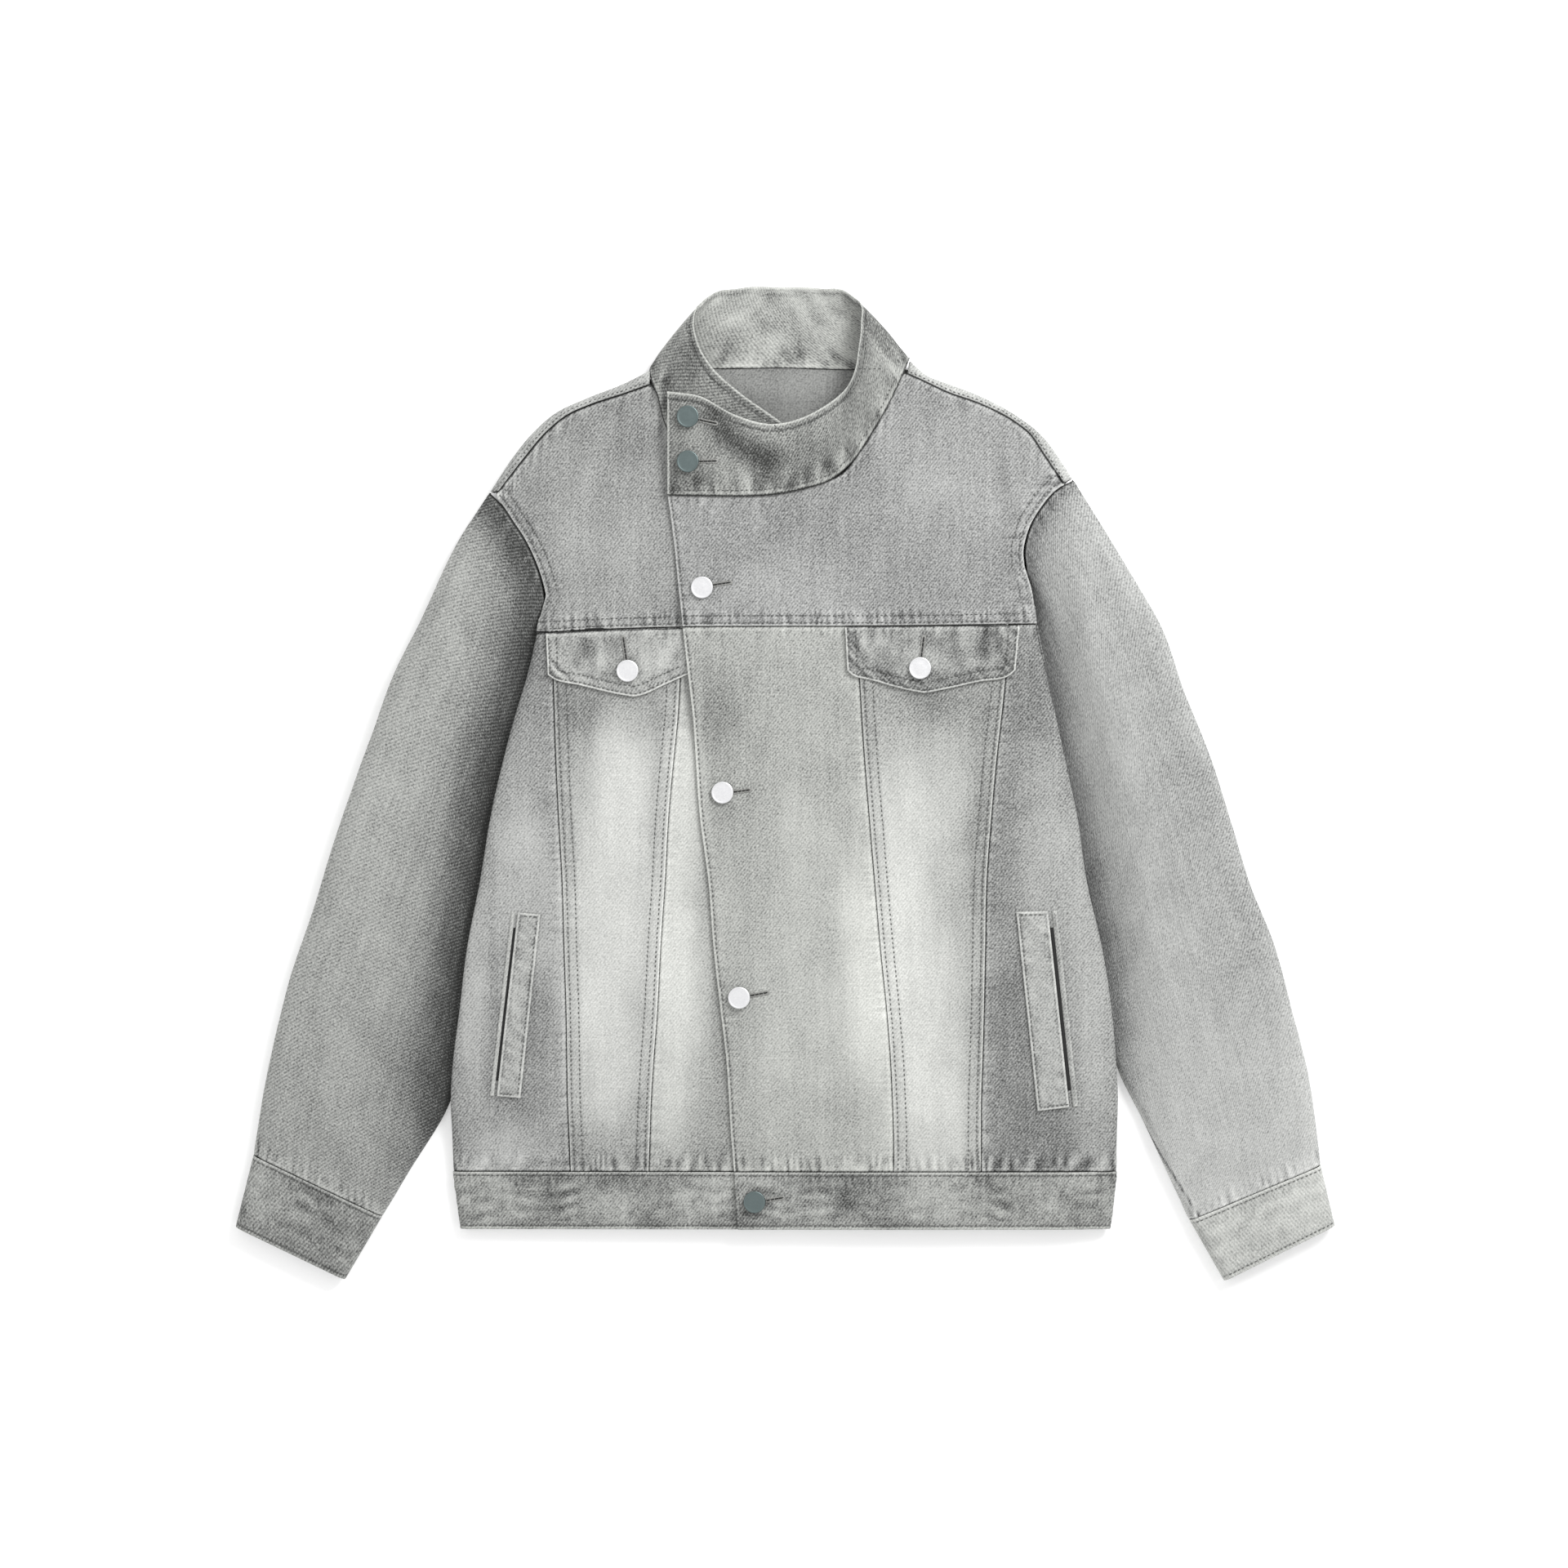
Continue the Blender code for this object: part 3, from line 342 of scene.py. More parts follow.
def curve(points, step=2.0):
    """Points close together along a smooth curve through these points."""
    p = np.array(points, float)
    t = np.concatenate([[0.0], np.cumsum(np.linalg.norm(np.diff(p, axis=0), axis=1))])
    if len(p) == 2:
        count = max(2, int(t[-1] / step) + 1)
        return p[0] + (p[1] - p[0]) * np.linspace(0, 1, count)[:, None]
    return cubic(p, t, np.linspace(0.0, t[-1], max(2, int(t[-1] / step) + 1)))


def along(line, shares):
    """Points at these shares of a line's length."""
    points = np.asarray(line, float)
    length = np.concatenate([[0.0], np.cumsum(np.linalg.norm(np.diff(points, axis=0), axis=1))])
    at = np.asarray(shares, float) * length[-1]
    return np.stack([np.interp(at, length, points[:, k]) for k in range(points.shape[1])], axis=-1)


def length_of(line):
    return float(np.linalg.norm(np.diff(np.asarray(line, float), axis=0), axis=1).sum())


def distance_to(line, x, y):
    points = np.asarray(line, float)[:, :2]
    best = np.full(np.shape(x), np.inf)
    for a, b in zip(points[:-1], points[1:]):
        d = b - a
        t = np.clip(((x - a[0]) * d[0] + (y - a[1]) * d[1]) / max(d @ d, 1e-9), 0.0, 1.0)
        best = np.minimum(best, np.hypot(x - a[0] - t * d[0], y - a[1] - t * d[1]))
    return best


def offset(line, by):
    """The line moved sideways in plan, to the right of its direction for a positive number."""
    p = np.asarray(line, float)[:, :2]
    way = np.gradient(p, axis=0)
    way /= np.maximum(np.linalg.norm(way, axis=1, keepdims=True), 1e-9)
    return p + np.stack([way[:, 1], -way[:, 0]], axis=1) * by


LATTICES = {}


def noise(x, y, size, seed, stretch=1.0):
    """Smooth noise from -1 to 1, in cells of this size across and stretch times it along."""
    if seed not in LATTICES:
        LATTICES[seed] = np.random.default_rng(seed).random((96, 96)) * 2.0 - 1.0
    table = LATTICES[seed]
    u, v = np.asarray(x) / size, np.asarray(y) / (size * stretch)
    i, j = np.floor(u).astype(int), np.floor(v).astype(int)
    fu, fv = smooth(u - i), smooth(v - j)
    i0, i1, j0, j1 = i % 96, (i + 1) % 96, j % 96, (j + 1) % 96
    low = table[i0, j0] * (1 - fu) + table[i1, j0] * fu
    high = table[i0, j1] * (1 - fu) + table[i1, j1] * fu
    return low * (1 - fv) + high * fv


# ---------------------------------------------------------------- heights

def dense(table, by):
    """A table's columns as smooth curves."""
    made = {}
    for name in table:
        if name != by:
            points = curve(tuple(zip(table[by], table[name])), 0.01 if by == "along" else 2.0)
            made[name] = (points[:, 0], points[:, 1])
    return made


HEIGHT_CURVES = dense(HEIGHTS, "y")
BODY_CURVES = dense(BODY, "y")
SIDES = {}
for side in ("left", "right"):
    corner = (HEM_LEFT if side == "left" else HEM_RIGHT, HEM_Y)
    SIDES[side] = curve((corner, *zip(BODY[side], BODY["y"]), *SIDE_TOP[side]))


def column(curves, name, at):
    return np.interp(at, curves[name][0], curves[name][1])


def side_distance(x, y):
    best = np.full(np.shape(x), np.inf)
    for line in SIDES.values():
        end_x, end_y = line[-1]
        beside = np.abs(x - np.interp(y, line[:, 1], line[:, 0]))
        best = np.minimum(best, np.where(y <= end_y, beside, np.hypot(x - end_x, y - end_y)))
    return best


def fold_height(y):
    return (column(HEIGHT_CURVES, "under", y) + column(HEIGHT_CURVES, "front", y)) / 2


def creases(x, y, where):
    total = np.zeros(np.shape(x))
    for points, width, height, kind in CREASES:
        if kind != where:
            continue
        line = curve(points, 12.0)
        away = distance_to(line, x, y)
        start, end = line[0], line[-1]
        span = end - start
        t = ((x - start[0]) * span[0] + (y - start[1]) * span[1]) / (span @ span)
        total += height * bell(away, width) * smooth(t / 0.35 + 0.25) * smooth((1 - t) / 0.35 + 0.25)
    return total


def front_height(x, y, over=False):
    top = column(HEIGHT_CURVES, "front", y) - CROWN * (x / CROWN_AT) ** 2
    if over:
        low, high = FLAP_RISE_Y
        near_flap = smooth((y - low + FLAP_RISE_FADE) / FLAP_RISE_FADE)
        near_flap = near_flap * smooth((high + FLAP_RISE_FADE - y) / FLAP_RISE_FADE)
        from_edge = x - column(BODY_CURVES, "placket", y)
        top = top + OVERLAP_RISE + FLAP_RISE * near_flap * (1.0 - smooth(from_edge / 60.0))
    soft = 0.8 * noise(x, y, 70.0, 1, 1.6) + 0.35 * noise(x, y, 31.0, 2, 1.5) + creases(x, y, "body")
    top = top + soft * smooth(side_distance(x, y) / 30.0)
    middle = fold_height(y)
    return middle + (top - middle) * quarter(side_distance(x, y) / FOLD)


def back_height(x, y):
    away = side_distance(x, y)
    lift = column(HEIGHT_CURVES, "back", y) * (1.0 - smooth((away - LIFT_FROM) / (LIFT_TO - LIFT_FROM)))
    reaches_fold = smooth((-50.0 - y) / 28.0)
    return np.maximum(lift, 0.0) + (fold_height(y) - lift) * (1.0 - quarter(away / FOLD)) * reaches_fold


# ---------------------------------------------------------------- grids and pieces

def shares(length, step, first="hidden", last="hidden"):
    """Shares of a length: close together by each end as its kind of edge needs, evenly between."""
    near, far = np.array(SPACING[first]), np.array(SPACING[last])
    limit = 0.48 * length
    near, far = near[near < limit], far[far < limit]
    count = max(2, int(round((length - near[-1] - far[-1]) / step)) + 1)
    middle = np.linspace(near[-1], length - far[-1], count)[1:-1]
    return np.concatenate([near, middle, (length - far)[::-1]]) / length


def coons(bottom, top, left, right, across, up):
    v, u = np.asarray(up, float)[:, None, None], np.asarray(across, float)[None, :, None]
    low, high = along(bottom, across)[None], along(top, across)[None]
    near, far = along(left, up)[:, None], along(right, up)[:, None]
    a, b, c, d = (np.array(p, float) for p in (bottom[0], bottom[-1], top[0], top[-1]))
    flat = (1 - u) * (1 - v) * a + u * (1 - v) * b + (1 - u) * v * c + u * v * d
    return (1 - v) * low + v * high + (1 - u) * near + u * far - flat


def normals(grid, closed=False):
    """Unit normals of a grid of points, from its own two directions."""
    if closed:
        wide = np.concatenate([grid[:, -1:], grid, grid[:, :1]], axis=1)
        across = (wide[:, 2:] - wide[:, :-2])
    else:
        across = np.gradient(grid, axis=1)
    cross = np.cross(across, np.gradient(grid, axis=0))
    return cross / np.maximum(np.linalg.norm(cross, axis=-1, keepdims=True), 1e-9)


def gathers(run, away, seed, pitch=6.4):
    """Small uneven puckers across a seam, from -1 to 1."""
    phase = run / pitch + 0.9 * noise(run, away * 0.2, 17.0, seed) + 0.02 * away
    strength = 0.55 + 0.45 * noise(run, away * 0.3, 13.0, seed + 1)
    return 0.8 * strength * np.sin(2 * np.pi * phase) + 0.45 * noise(run, away * 0.4, 3.4, seed + 2)


def wrinkles(run, up, seed, pitch=11.0):
    """Wavy creases along a band, from about -1 to 1."""
    bend = 0.34 * noise(run, up * 0.3, 26.0, seed) + 0.16 * noise(run, up, 11.0, seed + 1)
    strength = np.clip(0.3 + 0.9 * noise(run, up * 0.4, 17.0, seed + 2), 0.0, 1.0)
    wavy = 0.7 * strength * np.sin(2 * np.pi * (up / pitch + bend))
    return wavy + 0.4 * noise(run, up, 6.0, seed + 3) + 0.25 * noise(run, up, 3.3, seed + 4)


def edge_relief(kind, away, run, seed):
    """What a seam or edge of this kind does to the cloth: height, paleness and darkness."""
    spec = EDGES[kind]
    if kind in ("fold", "hidden"):
        nothing = np.zeros(np.shape(away))
        return nothing, nothing, nothing
    ripple = gathers(run, away, seed)
    reach = 7.0 if not spec["rows"] else spec["width"]
    if kind == "hem":
        reach = 11.0
    window = bell(np.maximum(away - 0.6 * reach, 0.0), 0.65 * reach) * smooth(away / 1.5 + 0.15)
    pucker = spec["pucker"] * ripple * window
    height = pucker + spec["lift"] * (1.0 - smooth((away - spec["width"]) / 2.6)) * quarter(away / 1.1)
    dark = np.zeros(np.shape(away))
    pale = 0.50 * pucker
    for row in spec["rows"]:
        height = height - 0.30 * bell(away - row, 0.85)
        dark = dark + 0.15 * bell(away - row, 0.8)
    if spec["rows"]:
        pale = pale + 0.24 * bell(away - 0.6, 0.6)
    else:
        # A groove at the seam line, with a dark line of painted shade in the gap where the pieces meet
        height = height - 0.80 * bell(away, 1.1)
        dark = dark + 0.85 * bell(away, 0.7)
        pale = pale + 0.10 * bell(away - 2.2, 1.0)
    return height, pale, dark


PALEST_FADE = 0.43


def fades_and_shadows(x, y):
    total = np.zeros(np.shape(x))
    for cx, cy, wide, tall, amount, turn in FADES_AND_SHADOWS:
        c, s = math.cos(math.radians(turn)), math.sin(math.radians(turn))
        u, v = (x - cx) * c + (y - cy) * s, -(x - cx) * s + (y - cy) * c
        total = total + amount * np.exp(-np.abs(u / wide) ** 2.4 - np.abs(v / tall) ** 2.4)
    ragged = 1.0 + 0.28 * noise(x, y, 17.0, 7, 2.6) + 0.14 * noise(x, y, 6.0, 8, 3.0)
    limit = np.where(total > 0, PALEST_FADE, 1.0)
    return limit * np.tanh(1.25 * total * ragged / limit)


class Cloth:
    """A piece as a grid of points of its outer face, with what its material needs at each."""

    def __init__(self, grid, uv=None, closed=False):
        self.grid = np.array(grid, float)
        self.closed = closed
        shape = self.grid.shape[:2]
        self.uv = self.grid[..., :2].copy() if uv is None else uv
        self.fade = np.full(shape, 0.40)
        self.dark = np.zeros(shape)
        self.cool = np.full(shape, 0.5)

    def press(self, relief):
        """Moves the points out by this much."""
        self.grid = self.grid + normals(self.grid, self.closed) * relief[..., None]

    def edge(self, kind, away, run, seed):
        height, pale, dark = edge_relief(kind, away, run, seed)
        self.fade = self.fade + pale
        self.dark = np.maximum(self.dark, dark)
        return height


MATERIALS = {}
TREES = {}


def faces_of(index):
    """Four-sided faces of a grid of vertex numbers, counter-clockwise from the grid's own side."""
    corners = (index[:-1, :-1], index[:-1, 1:], index[1:, 1:], index[1:, :-1])
    return np.stack(corners, axis=-1).reshape(-1, 4)


def make_mesh(name, verts, faces, uv, values, wall, materials, faces_out=True):
    data = bpy.data.meshes.new(name)
    if not faces_out:
        faces = [face[::-1] for face in faces]
    data.from_pydata(verts, [], faces)
    data.shade_smooth()
    if uv is not None:
        layer = data.uv_layers.new(name="cloth")
        loops = np.empty(len(data.loops), int)
        data.loops.foreach_get("vertex_index", loops)
        layer.data.foreach_set("uv", (uv.reshape(-1, 2) * MM)[loops].ravel())
    for key, field in values.items():
        data.attributes.new(name=key, type="FLOAT", domain="POINT").data.foreach_set("value", field.ravel())
    for key in materials:
        data.materials.append(MATERIALS[key])
    obj = bpy.data.objects.new(name, data)
    bpy.context.scene.collection.objects.link(obj)
    if wall:
        shell = obj.modifiers.new("wall", "SOLIDIFY")
        shell.thickness = wall * MM
        shell.offset = -1.0
        shell.use_even_offset = False
        shell.material_offset = 1 if len(materials) > 1 else 0
        shell.material_offset_rim = 0
    return obj


def add_cloth(name, cloth, wall=CLOTH, facing_up=True, replaces=None,
              flat=None, materials=("denim", "denim_reverse")):
    rows, columns = cloth.grid.shape[:2]
    index = np.arange(rows * columns).reshape(rows, columns)
    if cloth.closed:
        index = np.concatenate([index, index[:, :1]], axis=1)
    quads = faces_of(index)
    verts = (cloth.grid.reshape(-1, 3) * MM).tolist()
    faces = quads.tolist()
    values = {"fade": np.clip(cloth.fade, 0, 1), "dark": np.clip(cloth.dark, 0, 1), "cool": cloth.cool}
    obj = make_mesh(name, verts, faces, cloth.uv, values, wall, materials, facing_up)
    TREES[name] = BVHTree.FromPolygons(verts, faces)
    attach(obj, "root")
    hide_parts(*(replaces or (name.replace("cloth_", ""),)))
    if flat is None:
        middle_row, middle_column = cloth.grid[rows // 2], cloth.grid[:, columns // 2]
        flat = (length_of(middle_row), length_of(middle_column))
    return obj


# ---------------------------------------------------------------- materials

def node(tree, kind, place, **settings):
    made = tree.nodes.new(kind)
    made.location = place
    for key, value in settings.items():
        setattr(made, key, value)
    return made


def math_node(tree, operation, first, second, place, clamp=False):
    made = node(tree, "ShaderNodeMath", place, operation=operation, use_clamp=clamp)
    for socket, value in zip(made.inputs, (first, second)):
        if isinstance(value, (int, float)):
            socket.default_value = value
        elif value is not None:
            tree.links.new(value, socket)
    return made.outputs[0]


def noise_node(tree, vector, scale, detail, place, distortion=0.0):
    made = node(tree, "ShaderNodeTexNoise", place, noise_dimensions="3D")
    made.inputs["Scale"].default_value = scale
    made.inputs["Detail"].default_value = detail
    made.inputs["Distortion"].default_value = distortion
    tree.links.new(vector, made.inputs["Vector"])
    return made.outputs["Fac"]


def scaled(tree, vector, scale, place, turn=0.0):
    made = node(tree, "ShaderNodeMapping", place)
    made.inputs["Scale"].default_value = scale
    made.inputs["Rotation"].default_value = (0.0, 0.0, math.radians(turn))
    tree.links.new(vector, made.inputs["Vector"])
    return made.outputs[0]


def attribute(tree, name, place):
    return node(tree, "ShaderNodeAttribute", place, attribute_name=name).outputs["Fac"]


def denim_material(name, reverse=False):
    """Washed twill: wales on the diagonal, uneven yarns along the cloth, blotches and worn edges."""
    made = bpy.data.materials.new(name)
    made.use_nodes = True
    tree = made.node_tree
    shader = tree.nodes["Principled BSDF"]
    uv = node(tree, "ShaderNodeUVMap", (-1800, 0), uv_map="cloth").outputs[0]
    warped = noise_node(tree, uv, 60.0, 2.0, (-1600, 500))
    # Wales: a rounded saw across the diagonal, its line disturbed a little by the noise
    wale = node(tree, "ShaderNodeTexWave", (-1200, 300), wave_type="BANDS", bands_direction="X",
                wave_profile="SIN")
    tree.links.new(scaled(tree, uv, (1.0, 1.0, 1.0), (-1400, 300), 38.0), wale.inputs["Vector"])
    wale.inputs["Scale"].default_value = 150.0
    wale.inputs["Distortion"].default_value = 1.2
    wale.inputs["Detail"].default_value = 2.0
    wale.inputs["Detail Scale"].default_value = 1.6
    weave = wale.outputs["Fac"]
    warp = noise_node(tree, scaled(tree, uv, (800.0, 230.0, 1.0), (-1400, 0)), 1.0, 2.0, (-1200, 0))
    weft = noise_node(tree, scaled(tree, uv, (260.0, 900.0, 1.0), (-1400, -250)), 1.0, 2.0, (-1200, -250))
    grain = noise_node(tree, uv, 620.0, 1.0, (-1200, -450))
    blotch = noise_node(tree, uv, 26.0, 4.0, (-1200, -650), 0.6)
    slub = noise_node(tree, scaled(tree, uv, (190.0, 16.0, 1.0), (-1400, -850)), 1.0, 3.0, (-1200, -850))
    # Paleness: the washed tone of the cloth, less painted shade (the body's shadow on the sleeves, shadow
    # below the flaps, shade in the collar's front crease)
    tone = attribute(tree, "fade", (-1200, 700))
    strengths = (
        (weave, 0.13 if not reverse else 0.05), (warp, 0.26), (weft, 0.20), (grain, 0.55),
        (blotch, 0.16), (slub, 0.14), (warped, 0.06),
    )
    for k, (source, share) in enumerate(strengths):
        centred = math_node(tree, "SUBTRACT", source, 0.5, (-900, 500 - 160 * k))
        added = math_node(tree, "MULTIPLY_ADD", centred, share, (-700, 500 - 160 * k))
        tree.links.new(tone, added.node.inputs[2])
        tone = added
    # Darkness: the rows of stitches, and painted shade in the seams' gaps
    dark = attribute(tree, "dark", (-900, 900))
    darker = math_node(tree, "MULTIPLY", dark, 0.55, (-700, 900))
    tone = math_node(tree, "SUBTRACT", tone, darker, (-500, 700), True)
    ramp = node(tree, "ShaderNodeValToRGB", (-300, 500))
    stops = (("darkest", 0.0), ("dark", 0.17), ("middle", 0.42), ("pale", 0.80), ("palest", 1.0))
    ramp.color_ramp.elements[0].position, ramp.color_ramp.elements[1].position = 0.0, 1.0
    for key, at in stops[1:-1]:
        ramp.color_ramp.elements.new(at)
    for element, (key, at) in zip(ramp.color_ramp.elements, stops):
        lift = 0.62 if reverse else 1.0
        element.color = (*(min(c * lift, 1.0) for c in TONES[key]), 1.0)
    tree.links.new(tone, ramp.inputs["Fac"])
    tint = node(tree, "ShaderNodeMix", (-50, 500), data_type="RGBA", blend_type="MULTIPLY")
    tint.inputs["B"].default_value = (0.985, 0.975, 1.015, 1.0)
    tree.links.new(attribute(tree, "cool", (-300, 800)), tint.inputs["Factor"])
    tree.links.new(ramp.outputs["Color"], tint.inputs["A"])
    tree.links.new(tint.outputs["Result"], shader.inputs["Base Color"])
    shader.inputs["Roughness"].default_value = 0.92
    shader.inputs["Specular IOR Level"].default_value = 0.12
    shader.inputs["Sheen Weight"].default_value = 0.12
    shader.inputs["Sheen Roughness"].default_value = 0.5
    height = math_node(tree, "MULTIPLY_ADD", weave, 0.6, (-500, -200))
    tree.links.new(grain, height.node.inputs[2])
    bump = node(tree, "ShaderNodeBump", (-250, -200))
    bump.inputs["Strength"].default_value = 0.55
    bump.inputs["Distance"].default_value = 0.00035
    tree.links.new(height, bump.inputs["Height"])
    tree.links.new(bump.outputs[0], shader.inputs["Normal"])
    MATERIALS[name] = made


def thread_material(name, colour):
    made = bpy.data.materials.new(name)
    made.use_nodes = True
    tree = made.node_tree
    shader = tree.nodes["Principled BSDF"]
    where = node(tree, "ShaderNodeTexCoord", (-900, 0)).outputs["Object"]
    twist = noise_node(tree, where, 900.0, 2.0, (-700, 0))
    ramp = node(tree, "ShaderNodeValToRGB", (-400, 0))
    ramp.color_ramp.elements[0].color = (*(c * 0.72 for c in colour), 1.0)
    ramp.color_ramp.elements[1].color = (*(min(c * 1.25, 1.0) for c in colour), 1.0)
    tree.links.new(twist, ramp.inputs["Fac"])
    tree.links.new(ramp.outputs["Color"], shader.inputs["Base Color"])
    shader.inputs["Roughness"].default_value = 0.7
    MATERIALS[name] = made


def metal_material(name, colour, roughness):
    """Brushed metal: fine scratches in the roughness and a faint mottle in the colour."""
    made = bpy.data.materials.new(name)
    made.use_nodes = True
    tree = made.node_tree
    shader = tree.nodes["Principled BSDF"]
    where = node(tree, "ShaderNodeTexCoord", (-1100, 0)).outputs["Object"]
    brushed = noise_node(tree, scaled(tree, where, (300.0, 5200.0, 300.0), (-900, 0)), 1.0, 3.0, (-700, 0))
    mottle = noise_node(tree, where, 700.0, 3.0, (-700, -250))
    ramp = node(tree, "ShaderNodeValToRGB", (-400, 100))
    ramp.color_ramp.elements[0].color = (*(c * 0.86 for c in colour), 1.0)
    ramp.color_ramp.elements[1].color = (*(min(c * 1.08, 1.0) for c in colour), 1.0)
    tree.links.new(mottle, ramp.inputs["Fac"])
    tree.links.new(ramp.outputs["Color"], shader.inputs["Base Color"])
    shader.inputs["Metallic"].default_value = 1.0
    rough = math_node(tree, "MULTIPLY_ADD", brushed, 0.22, (-400, -200))
    rough.node.inputs[2].default_value = roughness
    tree.links.new(rough, shader.inputs["Roughness"])
    MATERIALS[name] = made


def plain_material(name, colour, roughness, glow=0.0):
    made = bpy.data.materials.new(name)
    made.use_nodes = True
    shader = made.node_tree.nodes["Principled BSDF"]
    shader.inputs["Base Color"].default_value = (*colour, 1.0)
    shader.inputs["Roughness"].default_value = roughness
    shader.inputs["Emission Color"].default_value = (1.0, 1.0, 1.0, 1.0)
    shader.inputs["Emission Strength"].default_value = glow
    MATERIALS[name] = made


# ---------------------------------------------------------------- stitches

STITCHES = {}
STITCH_LONG, STITCH_GAP, THREAD = 2.2, 1.5, 0.90


def stitch(group, start, end, normal, thick=THREAD):
    """One stitch, a short thread that dips in at both ends."""
    way = end - start
    long = way.length
    if long < 1e-6:
        return
    way = way / long
    across = normal.cross(way).normalized()
    up = way.cross(across).normalized()
    verts, faces = STITCHES.setdefault(group, ([], []))
    first = len(verts)
    half, rise = thick * MM / 2, thick * MM * 0.42
    verts.append(start - up * half * 0.6)
    for share in (0.2, 0.8):
        middle = start + way * (long * share) + up * rise * 0.5
        verts.extend((middle + across * half, middle + up * half, middle - across * half, middle - up * half))
    verts.append(end - up * half * 0.6)
    for k in range(4):
        n = (k + 1) % 4
        faces.append((first, first + 1 + n, first + 1 + k))
        faces.append((first + 1 + k, first + 1 + n, first + 5 + n, first + 5 + k))
        faces.append((first + 5 + k, first + 5 + n, first + 9))


def on_cloth(name, x, y, below=False):
    """The point and the normal of a piece's cloth over or under a place."""
    start = Vector((x * MM, y * MM, -0.1 if below else 0.2))
    hit, normal, _, _ = TREES[name].ray_cast(start, Vector((0, 0, 1 if below else -1)))
    if hit is None:
        return None, None
    if (normal.z < 0) != below:
        normal = -normal
    return hit, normal


def sew(name, line, group="stitches", below=False, spare=1.5, seed=0):
    """A row of stitches along a line in plan, on this piece."""
    total = length_of(line)
    pitch = STITCH_LONG + STITCH_GAP
    count = int((total - 2 * spare) / pitch)
    if count < 1:
        return
    draw = np.random.default_rng(1000 + seed)
    shift = draw.normal(0.0, 0.12, (count, 2))
    starts = along(line, (spare + pitch * np.arange(count)) / total)
    ends = along(line, (spare + pitch * np.arange(count) + STITCH_LONG) / total)
    for a, b, by in zip(starts, ends, shift):
        first, normal = on_cloth(name, a[0] + by[0], a[1] + by[0], below)
        last, _ = on_cloth(name, b[0] + by[1], b[1] + by[1], below)
        if first is not None and last is not None:
            stitch(group, first, last, normal)


def sew_buttonhole(name, start, end, seed):
    """A worked buttonhole: close stitches across both sides of a slit, the slit drawn as black threads of
    painted shade.
    """
    a, b = np.array(start, float), np.array(end, float)
    way = (b - a) / np.linalg.norm(b - a)
    side = np.array((-way[1], way[0]))
    count = int(np.linalg.norm(b - a) / 0.85)
    draw = np.random.default_rng(500 + seed)
    for k in range(count):
        at = a + (b - a) * (k + 0.5) / count
        for sign in (-1.0, 1.0):
            near = at + side * sign * 0.35
            far = at + side * sign * (1.9 + draw.uniform(-0.35, 0.35))
            p, normal = on_cloth(name, *near)
            q, _ = on_cloth(name, *far)
            if p is not None and q is not None:
                stitch("buttonholes", p + normal * 0.0003, q, normal, 0.8)
    for turn in np.linspace(-80, 80, 7):  # the rounded far end
        c, s = math.cos(math.radians(turn)), math.sin(math.radians(turn))
        out = way * c + side * s
        p, normal = on_cloth(name, *(b + out * 0.3))
        q, _ = on_cloth(name, *(b + out * 2.0))
        if p is not None and q is not None:
            stitch("buttonholes", p + normal * 0.0003, q, normal, 0.8)
    # The slit: short black threads, painted shade in the cut.
    slit = np.linspace(0.0, 1.0, 6)
    points = [on_cloth(name, *(a + (b - a) * s)) for s in slit]
    for (p, normal), (q, _) in zip(points[:-1], points[1:]):
        if p is not None and q is not None:
            stitch("buttonhole_slit_shade", p + normal * 0.0004, q + normal * 0.0004, normal, 0.7)


def add_stitches():
    finishes = {"stitches": "thread", "buttonholes": "thread_pale", "buttonhole_slit_shade": "slit"}
    for group, (verts, faces) in STITCHES.items():
        obj = make_mesh(group, [tuple(v) for v in verts], faces, None, {}, 0, (finishes[group],))
        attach(obj, "root")
        print(f"{group}: {len(faces)} faces")


# ---------------------------------------------------------------- the body

def body_line(name):
    ys, xs = BODY_CURVES[name]
    return np.stack([xs, ys], axis=1)


YOKE_LINE = curve(YOKE_SEAM)


def yoke_between(low, high):
    xs = np.linspace(low, high, max(2, int(abs(high - low) / 2) + 1))
    return np.stack([xs, np.interp(xs, YOKE_LINE[:, 0], YOKE_LINE[:, 1])], axis=1)


def body_patch(bottom, top, left, right, kinds, step, over, seeds):
    """A panel between four lines, with what each of its seams does to it. kinds: bottom, top, left, right."""
    wide = (length_of(bottom) + length_of(top)) / 2
    tall = (length_of(left) + length_of(right)) / 2
    across = shares(wide, step, kinds[2], kinds[3])
    up = shares(tall, step, kinds[0], kinds[1])
    plan = coons(bottom, top, left, right, across, up)
    x, y = plan[..., 0], plan[..., 1]
    cloth = Cloth(np.concatenate([plan, front_height(x, y, over)[..., None]], axis=-1))
    relief = np.zeros(x.shape)
    for line, kind, run, seed in zip((bottom, top, left, right), kinds, (x, x, y, y), seeds):
        if kind not in ("fold", "hidden"):
            relief += cloth.edge(kind, distance_to(line[::2] if len(line) > 40 else line, x, y), run, seed)
    relief += 0.10 * noise(x, y, 9.0, 31, 1.4) + 0.05 * noise(x, y, 4.0, 32)
    cloth.fade += fades_and_shadows(x, y) + 0.035 * noise(x, y, 40.0, 33, 1.5)
    cloth.press(relief)
    return cloth


